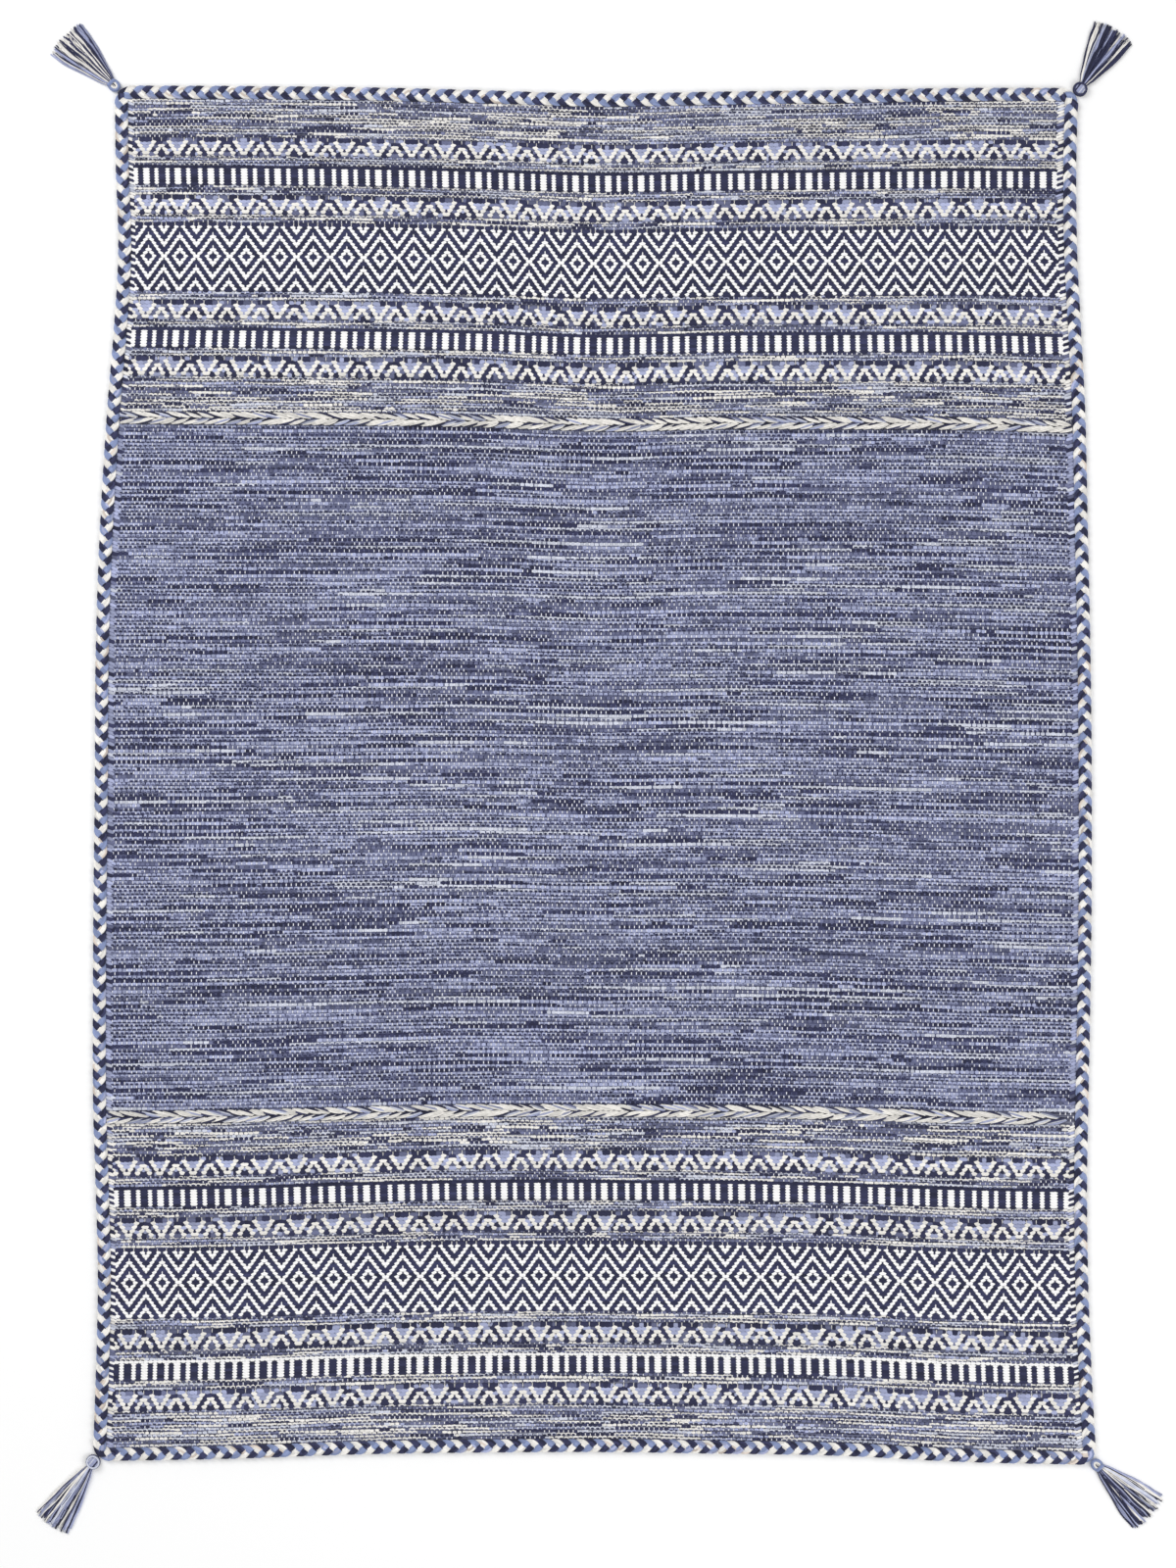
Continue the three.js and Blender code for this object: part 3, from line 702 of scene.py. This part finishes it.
# The underside's streaks, by the noise's value, and the paler yarn that its ends mix in.
UNDERSIDE_STOPS = [
    (0.38, (42, 45, 70)), (0.47, (74, 78, 110)), (0.55, (140, 150, 184)), (0.66, (188, 192, 212)),
]
UNDERSIDE_PALE = (226, 224, 222)


def ground_material():
    """The cloth between and under the floats. Its map has the warp along u and the row along v."""
    n = Nodes("ground_cotton")
    place = n.map("Weave")
    warp, row = n.new("SeparateXYZ", {0: place}).outputs[:2]
    streaks = n.noise(place, (0.036, 1.85, 1.0), 4.0)
    ramp = n.new("ValToRGB", {0: streaks})
    stops = ramp.color_ramp.elements
    stops[1].position, stops[1].color = UNDERSIDE_STOPS[-1][0], opaque(UNDERSIDE_STOPS[-1][1])
    stops[0].position, stops[0].color = UNDERSIDE_STOPS[0][0], opaque(UNDERSIDE_STOPS[0][1])
    for position, colour in UNDERSIDE_STOPS[1:-1]:
        stops.new(position).color = opaque(colour)
    row_number = n.maths("FLOOR", row)
    warp_wave = n.maths("SINE", n.maths("MULTIPLY", n.maths("ADD", warp, row_number), math.pi))
    row_wave = n.maths("SINE", n.maths("MULTIPLY", row, math.pi))
    warp_wave = n.maths("MULTIPLY_ADD", warp_wave, 0.5, 0.5)
    height = n.maths("MULTIPLY", warp_wave, n.maths("ABSOLUTE", row_wave))
    # Painted shade: the underside's colour is darker where the weave's relief is low.
    woven = n.shaded(ramp.outputs[0], n.maths("MULTIPLY_ADD", height, 0.5, 0.55))
    normal = n.new("NewGeometry", {}).outputs["Normal"]
    up = n.new("SeparateXYZ", {0: normal}).outputs[2]
    top = n.maths("GREATER_THAN", up, 0.5)
    off_middle = n.maths("ABSOLUTE", n.maths("SUBTRACT", row, FIELD_COUNT + FIELD_ROWS / 2))
    in_field = n.maths("LESS_THAN", off_middle, FIELD_ROWS / 2)
    # Between the rows a dark line, partly the darker yarn and partly painted shadow in the gaps, and here
    # and there a bright tick between two floats.
    places = n.maths("ADD", warp, n.maths("ADD", row_number, -0.5))
    between_floats = n.maths("GREATER_THAN", n.maths("PINGPONG", places, 1.0), 0.82)
    off_row = n.maths("ABSOLUTE", n.maths("ADD", n.maths("FRACT", row), -0.5))
    within_row = n.maths("LESS_THAN", off_row, 0.34)
    pair = n.maths("FLOOR", n.maths("MULTIPLY", places, 0.5))
    chance = n.new("CombineXYZ", {0: pair, 1: row_number}).outputs[0]
    chance = n.new("TexWhiteNoise", {0: chance}, noise_dimensions="2D").outputs[0]
    tick = n.maths("MULTIPLY", within_row, n.maths("GREATER_THAN", chance, 0.36))
    tick = n.maths("MULTIPLY", between_floats, tick)
    odd_line = n.maths("PINGPONG", n.maths("ROUND", row), 1.0)
    paleness = n.maths("MULTIPLY_ADD", odd_line, 0.05, streaks)
    paleness = n.new("MapRange", {0: paleness, 1: 0.46, 2: 0.62}).outputs[0]
    shades = []
    # The dark line between the rows is partly painted shadow.
    for dark, middling, bright in VALLEYS:
        line = n.mix(paleness, opaque(dark), opaque(middling))
        shades.append(n.mix(tick, line, opaque(bright)))
    paler = n.mix(0.3, woven, opaque(UNDERSIDE_PALE))
    underside = n.mix(in_field, paler, woven)
    return n.finish(n.mix(top, underside, n.mix(in_field, *shades)), height, 0.6, 0.0006)


def make_ground(places):
    """The cloth itself, a thin slab under the floats that reaches a little way under the plait."""
    columns = 30
    longest_step = 20
    share = np.linspace(0, 1, columns + 1)
    ends = [FIRST_END - CLOTH_INSET + UNDER_PLAIT, SECOND_END + CLOTH_INSET - UNDER_PLAIT]
    borders, counts = np.array(sorted(places)).T
    marks = sorted([*ends, *borders])
    steps = [np.linspace(a, b, 2 + int((b - a) / longest_step))[:-1] for a, b in zip(marks, marks[1:])]
    nominal = np.concatenate([*steps, marks[-1:]])[::-1]
    rows = len(nominal) - 1
    row, column = np.meshgrid(nominal, share, indexing="ij")
    warp_reach = UNDER_PLAIT / WARP_PITCH
    warp = -warp_reach + column * (WARPS + 2 * warp_reach)
    x = warp_x(row, warp)
    y = weft_y(row, x)
    top = np.stack([x, y, np.full_like(x, GROUND_HEIGHT)], -1).reshape(-1, 3)
    bottom = top * (1, 1, 0)
    index = np.arange((rows + 1) * (columns + 1)).reshape(rows + 1, columns + 1)
    a, b, c, d = index[:-1, :-1], index[1:, :-1], index[1:, 1:], index[:-1, 1:]
    up = np.stack([a, b, c, d], -1).reshape(-1, 4)
    under = len(top)
    down = up[:, ::-1] + under
    rim = np.concatenate([index[0, ::-1], index[1:, 0], index[-1, 1:], index[-2:0:-1, -1]])
    ahead = np.roll(rim, -1)
    wall = np.stack([rim, rim + under, ahead + under, ahead], -1)
    faces = np.concatenate([up, down, wall])
    piece = mesh_object("ground_cloth", np.concatenate([top, bottom]), faces)
    count = np.interp(row.ravel(), borders, counts)
    weave = np.stack([np.tile(warp.ravel(), 2), np.tile(count, 2)], 1)
    add_uv(piece.data, "Weave", weave[faces.ravel()])
    piece.data.polygons.foreach_set("use_smooth", np.zeros(len(faces), bool))
    piece.data.materials.append(ground_material())
    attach(piece, "root")
    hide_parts("cloth")
    return piece


def plait_line():
    """The plait's middle line, closed and running anticlockwise from the top right corner."""

    def first(x):
        return weft_y(FIRST_END, x) - PLAIT_HALF_WIDTH

    def second(x):
        return weft_y(SECOND_END, x) + PLAIT_HALF_WIDTH

    def left(y):
        return left_edge(y) + PLAIT_HALF_WIDTH

    def right(y):
        return right_edge(y) - PLAIT_HALF_WIDTH

    centres = []
    corners = ((right, first, -1, -1), (left, first, 1, -1), (left, second, 1, 1), (right, second, -1, 1))
    for side, end, x, y in corners:
        corner_x = side(end(-x * NEAR_SELVEDGE))
        corner = np.array([corner_x, end(corner_x)])
        centres.append(corner + PLAIT_CORNER_RADIUS * np.array([x, y]))

    def turn(corner):
        angle = (corner + np.linspace(0, 1, 13)) * math.pi / 2
        return centres[corner] + PLAIT_CORNER_RADIUS * np.stack([np.cos(angle), np.sin(angle)], 1)

    def between(start, stop):
        return np.linspace(start, stop, 400)[1:-1]

    top_x = between(centres[0][0], centres[1][0])
    left_y = between(centres[1][1], centres[2][1])
    bottom_x = between(centres[2][0], centres[3][0])
    right_y = between(centres[3][1], centres[0][1])
    line = np.concatenate([
        turn(0), np.stack([top_x, first(top_x)], 1),
        turn(1), np.stack([left(left_y), left_y], 1),
        turn(2), np.stack([bottom_x, second(bottom_x)], 1),
        turn(3), np.stack([right(right_y), right_y], 1),
    ])
    return line, centres


def even_points(line, count):
    """Points at even steps along a closed line, with the direction outwards at each."""
    closed = np.concatenate([line, line[:1]])
    reached = np.concatenate([[0], np.cumsum(np.linalg.norm(np.diff(closed, axis=0), axis=1))])
    at = reached[-1] * np.arange(count) / count
    points = np.stack([np.interp(at, reached, closed[:, k]) for k in (0, 1)], 1)
    way = unit(np.roll(points, -1, 0) - np.roll(points, 1, 0))
    return points, np.stack([way[:, 1], -way[:, 0]], 1)


def tube_faces(rings, sides, closed):
    """Triangles of tubes, and each corner's place on them, with a turn of the twist in four steps."""
    ring = np.arange(rings if closed else rings - 1)
    k, i = np.meshgrid(ring, np.arange(sides), indexing="ij")
    ahead, beside = (k + 1) % rings, (i + 1) % sides
    a, b, c, d = k * sides + i, k * sides + beside, ahead * sides + beside, ahead * sides + i
    faces = np.stack([np.stack([a, b, c], -1), np.stack([a, c, d], -1)], -2)
    u0, v0 = (k % 4) / 4, i / sides
    u1, v1 = u0 + 0.25, v0 + 1 / sides
    corner = {"a": (u0, v0), "b": (u0, v1), "c": (u1, v1), "d": (u1, v0)}
    places = np.stack([np.stack([np.stack(corner[x], -1) for x in t], -2) for t in ("abc", "acd")], -3)
    return faces, places


# A strand crosses the plait on a slant, over its neighbour, and then lies along the other edge
# under the next one. The shares are of its full turn, there and back.
PLAIT_STEPS = 14
CROSSING_SHARE = 0.27
HIGHEST_SHARE = 0.03
PLAIT_SWING = 4.1
PLAIT_MIDDLE = 3.35
PLAIT_RISE = 1.55
STRAND_HALF_WIDTH = 4.2
# A strand's section: three yarns side by side on top, and flat underneath.
STRAND_SECTION = [
    (1, -0.1), (0.9, 0.62), (0.66, 0.95), (0.34, 0.7), (0, 1),
    (-0.34, 0.7), (-0.66, 0.95), (-0.9, 0.62), (-1, -0.1), (0, -0.9),
]
YARN_OF_SIDE = [0, 0, 0, 1, 1, 2, 2, 2, 3, 3]
STRAND_HALF_HEIGHT = 1.85
PLAIT_DYES = [("navy", "navy"), ("sky", "blue"), ("cream", "sand")]


def plait_swing(turn):
    """How far out a strand lies, from 1 at the outer edge to -1 at the inner one."""
    there = np.clip(turn / CROSSING_SHARE, 0, 1)
    back = np.clip((turn - 0.5) / CROSSING_SHARE, 0, 1)
    return 1 - 2 * there + 2 * back


def make_plait(line):
    length = np.linalg.norm(np.roll(line, -1, 0) - line, axis=1).sum()
    turns = round(length / (3 * PLAIT_LOBE_PITCH))
    count = turns * PLAIT_STEPS
    points, outward = even_points(line, count)
    section = np.array(STRAND_SECTION)
    yarns = Yarns()
    faces, places = tube_faces(count, len(section), True)
    for strand, (dye, accent) in enumerate(PLAIT_DYES):
        turn = (np.arange(count) / PLAIT_STEPS - strand / 3) % 1
        centre = np.empty((count, 3))
        centre[:, :2] = points + outward * (PLAIT_SWING * plait_swing(turn))[:, None]
        centre[:, 2] = PLAIT_MIDDLE + PLAIT_RISE * np.cos(4 * math.pi * (turn - HIGHEST_SHARE))
        way = unit(np.roll(centre, -1, 0) - np.roll(centre, 1, 0))
        side = unit(np.cross(way, (0, 0, 1)))
        up = np.cross(side, way)
        rings = (
            centre[:, None]
            + side[:, None] * (section[None, :, :1] * STRAND_HALF_WIDTH)
            + up[:, None] * (section[None, :, 1:] * STRAND_HALF_HEIGHT)
        )
        rings[..., 2] = np.maximum(rings[..., 2], 0.05)
        tints = np.repeat(rng.random((count // 4 + 1, 4)), 4, 0)[:count][:, YARN_OF_SIDE]
        odd = np.repeat(rng.random((count // 16 + 1, 4)), 16, 0)[:count][:, YARN_OF_SIDE] < 0.1
        dyes = np.where(odd, dye_index(accent, tints), dye_index(dye, tints))
        yarns.add(rings, faces, places, np.repeat(dyes[:, :, None], 2, 2))
    piece = yarn_piece("plait", yarns, yarn_material("plait_cotton", 1.0, 0.0, 6))
    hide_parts("edging_plait")
    return piece


def round_tubes(paths, radius, sides):
    """Rings of points round many paths at once. paths is paths by steps by 3."""
    way = unit(np.gradient(paths, axis=1))
    side = unit(np.cross(way, (0, 0, 1)))
    up = np.cross(side, way)
    angle = 2 * math.pi * (np.arange(sides) + 0.5) / sides
    return (
        paths[:, :, None]
        + side[:, :, None] * (radius[:, :, None] * np.cos(angle))[..., None]
        + up[:, :, None] * (radius[:, :, None] * np.sin(angle))[..., None]
    )


def add_tubes(yarns, paths, radius, dyes, sides=6):
    """Open yarns as tubes. dyes is one a path."""
    count, steps = paths.shape[:2]
    rings = round_tubes(paths, radius, sides).reshape(count, -1, 3)
    faces, places = tube_faces(steps, sides, False)
    yarns.add_copies(rings, faces.reshape(-1, 3), places.reshape(-1, 3, 2), dyes)


CHAIN_PITCH = 13.4
CHAIN_STITCH = 21
# How far from the middle line a stitch begins and how far it comes in, and its yarns' offsets.
CHAIN_START, CHAIN_FALL = 6.9, 6.0
YARN_SPACING, YARN_LAG = 1.75, 1.6
# The dyes of a stitch's three yarns, and how many stitches in twenty have them.
CHAIN_STITCHES = [
    (("cream", "cream", "cream"), 4),
    (("cream", "cream", "navy"), 5),
    (("navy", "cream", "cream"), 4),
    (("cream", "pale", "slate"), 3),
    (("cream", "blue", "cream"), 2),
    (("blue", "pale", "navy"), 2),
]


def add_chain(yarns, nominal):
    """Two lines of stitches that slant towards each other, like a row of chevrons."""
    steps = 8
    t = np.linspace(0, 1, steps)
    swell = np.sin(math.pi * np.clip(t, 0.06, 0.94)) ** 0.55
    names = [names for names, times in CHAIN_STITCHES for _ in range(times)]
    for side in (-1, 1):
        count = round(WARPS * WARP_PITCH / CHAIN_PITCH)
        start = (np.arange(count) + 0.5 * (side < 0)) * CHAIN_PITCH - CHAIN_STITCH / 2
        start = start + CHAIN_PITCH * 0.25 * (rng.random(count) - 0.5)
        reach = CHAIN_STITCH * (0.85 + 0.3 * rng.random(count))
        chosen = [names[k] for k in rng.integers(0, len(names), count)]
        for k, across in enumerate((-1, 0, 1)):
            place = start[:, None] + reach[:, None] * t[None] + YARN_LAG * across * side
            left = warp_x(nominal, 0)
            x = np.clip(left + place, left + 1, warp_x(nominal, WARPS) - 1)
            from_middle = (CHAIN_START - CHAIN_FALL * t)[None] * side + YARN_SPACING * across * swell[None]
            y = weft_y(nominal, x) + from_middle
            z = 3.0 + 2.3 * swell[None] + 0.9 * t[None] + 0.35 * rng.random((count, 1))
            paths = np.stack(np.broadcast_arrays(x, y, z), -1)
            radius = np.broadcast_to((0.3 + 0.9 * swell)[None], (count, steps))
            dyes = np.array([dye_index(yarn_names[k], rng.random()) for yarn_names in chosen])
            add_tubes(yarns, paths, radius, dyes, sides=5)


def make_chains():
    yarns = Yarns()
    for nominal in (FIRST_CHAIN, SECOND_CHAIN):
        add_chain(yarns, nominal)
    return yarn_piece("chained_rows", yarns, yarn_material("chain_cotton", 1.5, 0.1))


# The tassels, as in the solids. dyes runs over the skirt, from its right side to its left side as
# seen from the head.
TASSEL_COLUMNS = ("place_name", "corner", "head", "seat", "axis", "spread", "length", "dyes")
TASSELS = [dict(zip(TASSEL_COLUMNS, row)) for row in (
    ("top_left", 1, "loop", 136, 136, 28, 81, "bnbbnbcncncnccnnccnnbncb"),
    ("top_right", 0, "knot", 40, 59, 29, 76, "nnncnnbbcnnnnbnnnbpcnccn"),
    ("bottom_left", 2, "knot", 227, 236, 24, 84, "cnbpcnbncbnpcbbnncbnbpnb"),
    ("bottom_right", 3, "loop", -45, -43, 28, 85, "nbnbnncbnnbnccnbncbpnccb"),
)]
KNOT_RINGS = {"top_right": ("navy", "navy", "navy"), "bottom_left": ("navy", "slate", "pale")}
TASSEL_DYES = {"n": "navy", "b": "blue", "c": "cream", "p": "pale"}
STRANDS = 84
STRAND_LAYERS = 4
STRAND_STEPS = 16
STRAND_RADIUS = 0.92
LOOP_NECK, KNOT_NECK = 14.7, 18.6
KNOT_RADIUS = 9.2
KNOT_MIDDLE = ["pale", "blue", "pale", "blue", "blue", "navy", "blue"]
# The skirt's half width, as a share of its spread, and its height, by the distance from the neck.
SKIRT_WIDTH = curve_through([-3, 0, 6, 16, 40, 60, 90], [0.15, 0.16, 0.29, 0.41, 0.68, 0.86, 1.03])
SKIRT_HEIGHT = curve_through([-3, 0, 6, 16, 40, 90], [6.4, 6.8, 7.6, 6.4, 4.8, 3.2])


def local_tubes(yarns, tassel, paths, radius, dyes):
    """Adds yarns whose paths are given along the tassel's axis, across it and upwards."""
    angle = math.radians(tassel["axis"])
    cosine, sine = math.cos(angle), math.sin(angle)
    along, across, up = np.moveaxis(paths, -1, 0)
    radius = np.broadcast_to(radius, up.shape)
    x = tassel["place"][0] + along * cosine - across * sine
    y = tassel["place"][1] + along * sine + across * cosine
    add_tubes(yarns, np.stack([x, y, np.maximum(up, radius)], -1), radius, dyes)


def add_skirt(yarns, tassel, neck):
    """Yarns that fan out from the neck in layers, sink to the floor and wave a little."""
    share = 2 * (np.arange(STRANDS) + 0.5) / STRANDS - 1
    layer = (np.arange(STRANDS) * 3 % STRAND_LAYERS + 0.3 * rng.random(STRANDS)) / STRAND_LAYERS
    drift = 0.16 * rng.normal(size=STRANDS) * (1 - share ** 2)
    tip_share = np.clip(share + drift, -1, 1)
    reach = tassel["length"] * (0.93 + 0.1 * rng.random(STRANDS))
    tip_y = tip_share * tassel["spread"]
    tip_x = np.sqrt(reach ** 2 - tip_y ** 2)
    t = np.linspace(0, 1, STRAND_STEPS)[None]
    along = -2 + (tip_x[:, None] + 2) * t
    wave = rng.random((STRANDS, 2))
    length = 34 + 30 * wave[:, :1]
    sway = 1.1 * t ** 1.3 * np.sin(2 * math.pi * (along / length + wave[:, 1:]))
    fanned = share[:, None] + (tip_share - share)[:, None] * t
    across = fanned * tassel["spread"] * SKIRT_WIDTH(along) + sway
    height = SKIRT_HEIGHT(along) * np.sqrt(1 - 0.55 * share[:, None] ** 2)
    up = STRAND_RADIUS + layer[:, None] * (height - 2 * STRAND_RADIUS)
    up = up + 0.35 * np.sin(2 * math.pi * (along / (0.7 * length) + wave[:, :1])) * t
    radius = STRAND_RADIUS * (0.9 + 0.25 * rng.random((STRANDS, 1))) * np.ones_like(t)
    letters = tassel["dyes"]
    place = np.clip(((tip_share + 1) / 2 * len(letters)).astype(int), 0, len(letters) - 1)
    names = [TASSEL_DYES[letters[k]] for k in place]
    dyes = np.array([dye_index(name, rng.random()) for name in names])
    paths = np.stack([neck + along, across, up], -1)
    local_tubes(yarns, tassel, closed_ends(paths, radius[:, :1]), closed_radius(radius), dyes)


def closed_ends(paths, radius):
    """Paths with one more point just past each end, where a yarn is closed."""
    def past(end, before):
        way = unit(paths[:, end] - paths[:, before])
        return (paths[:, end] + 0.3 * radius * way)[:, None]

    return np.concatenate([past(0, 1), paths, past(-1, -2)], 1)


def closed_radius(radius):
    tip = 0.15 * radius[:, :1]
    return np.concatenate([tip, radius, tip], 1)


def ellipse(centre, reach, start, stop, steps=18):
    angle = np.radians(np.linspace(start, stop, steps))
    return centre[0] + reach[0] * np.cos(angle), centre[1] + reach[1] * np.sin(angle)


def add_wraps(yarns, tassel, neck, half_width, height):
    """Turns of yarn round the neck."""
    for turn in range(3):
        across, up = ellipse((0, height / 2), (half_width, height / 2), 0, 360)
        along = neck - 2.6 + 1.35 * turn + 0.05 * across
        path = np.stack([along, across, up], -1)[None]
        local_tubes(yarns, tassel, path, 0.85, np.array([dye_index("sky", 0.3 + 0.3 * turn)]))


def add_loop_head(yarns, tassel):
    """A folded bundle of yarn, tied at the neck."""
    for inset, height, dye in ((0, 3.0, "sky"), (1.1, 5.3, "sky"), (2.6, 3.2, "navy"), (3.3, 5.6, "cream")):
        along, across = ellipse((9.4, 0), (7.7 - inset, 6.1 - inset), 52, 308)
        path = np.stack([along, across, np.full_like(along, height)], -1)[None]
        local_tubes(yarns, tassel, path, 1.45, np.array([dye_index(dye, 0.5)]))
    for across, dye in ((-1.1, "navy"), (0.4, "cream"), (1.6, "sky")):
        along = np.linspace(3.5, LOOP_NECK, 10)
        path = np.stack([along, np.full(10, across), 2.6 + 1.6 * np.sin((along - 3.5) / 4)], -1)[None]
        local_tubes(yarns, tassel, path, 1.0, np.array([dye_index(dye, 0.5)]))
    add_wraps(yarns, tassel, LOOP_NECK, 5.4, 8.2)


def add_knot_head(yarns, tassel):
    """A round knot, with a ring of yarns about its coiled middle."""
    for radius, height, dye in zip((8.0, 7.9, 7.3), (1.5, 3.7, 5.6), KNOT_RINGS[tassel["place_name"]]):
        along, across = ellipse((KNOT_RADIUS, 0), (radius, radius), 0, 360, 30)
        path = np.stack([along, across, height + 0.3 * np.sin(along)], -1)[None]
        # Painted light: the higher a ring lies, the lighter its tint.
        local_tubes(yarns, tassel, path, 1.25, np.array([dye_index(dye, 0.3 + 0.08 * height)]))
    for offset, dye in zip((-4.9, -3.2, -1.5, 0.2, 1.9, 3.6, 5.1), KNOT_MIDDLE):
        t = np.linspace(-1, 1, 10)
        reach = 6.4 * math.sqrt(1 - (offset / 7) ** 2)
        along, across = KNOT_RADIUS + reach * t, offset - 0.12 * reach * t
        path = np.stack([along, across, 6.3 - 2.2 * t ** 2 - 0.04 * offset ** 2], -1)[None]
        local_tubes(yarns, tassel, path, 1.05, np.array([dye_index(dye, 0.5)]))


def make_tassels(centres):
    material = yarn_material("tassel_cotton", 1.5, 0.15)
    for tassel in TASSELS:
        seat, axis = math.radians(tassel["seat"]), math.radians(tassel["axis"])
        towards = np.array([math.cos(seat), math.sin(seat)])
        knot = tassel["head"] == "knot"
        middle = KNOT_RADIUS if knot else 0
        back = middle * np.array([math.cos(axis), math.sin(axis)])
        reach = PLAIT_CORNER_RADIUS + PLAIT_HALF_WIDTH + PIECE_GAP
        tassel["place"] = centres[tassel["corner"]] + (reach + middle) * towards - back
        yarns = Yarns()
        (add_knot_head if knot else add_loop_head)(yarns, tassel)
        add_skirt(yarns, tassel, KNOT_NECK if knot else LOOP_NECK)
        piece = yarn_piece("strands_" + tassel["place_name"], yarns, material)
        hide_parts("tassel_" + tassel["place_name"])


def make_floor():
    bpy.ops.mesh.primitive_plane_add(size=30, location=(0, 0, -0.0004))
    floor = bpy.context.object
    floor.name = "floor"
    n = Nodes("floor_paint")
    n.set_shader(FLOOR_PAINT)
    floor.data.materials.append(n.material)


# The photo's frame at floor level: 1200 by 1600 pixels at this many millimetres each, and the
# pixel at which the origin lies.
MM_PER_PIXEL = 1.214
ORIGIN_PIXEL = (610, 792)
FRAME_PIXELS = (1200, 1600)
LENS, SENSOR = 85, 36


def make_camera():
    data = bpy.data.cameras.new("camera")
    data.lens, data.sensor_width = LENS, SENSOR
    camera = bpy.data.objects.new("camera", data)
    bpy.context.scene.collection.objects.link(camera)
    x = (FRAME_PIXELS[0] / 2 - ORIGIN_PIXEL[0]) * MM_PER_PIXEL
    y = (ORIGIN_PIXEL[1] - FRAME_PIXELS[1] / 2) * MM_PER_PIXEL
    distance = LENS / SENSOR * FRAME_PIXELS[1] * MM_PER_PIXEL
    camera.location = (x * MM, y * MM, distance * MM)
    bpy.context.scene.camera = camera


def make_lights():
    world = bpy.data.worlds.new("studio")
    bpy.context.scene.world = world
    world.use_nodes = True
    background = world.node_tree.nodes["Background"].inputs
    background["Color"].default_value, background["Strength"].default_value = (1, 1, 1, 1), 0.62
    for place, power in (((-2.6, 2.2, 3.2), 85), ((2.8, -1.8, 3.3), 66)):
        data = bpy.data.lights.new("softbox", "AREA")
        data.shape, data.size, data.energy = "SQUARE", 2.4, power
        lamp = bpy.data.objects.new("softbox", data)
        bpy.context.scene.collection.objects.link(lamp)
        lamp.location = place
        lamp.rotation_euler = (-lamp.location).to_track_quat("-Z", "Y").to_euler()
    bpy.context.scene.view_settings.view_transform = "Standard"


make_camera()
make_lights()
make_floor()
weave, row_places = make_cloth_faces()
ground = make_ground(row_places)
chains = make_chains()
plait_path, corner_centres = plait_line()
make_plait(plait_path)
make_tassels(corner_centres)
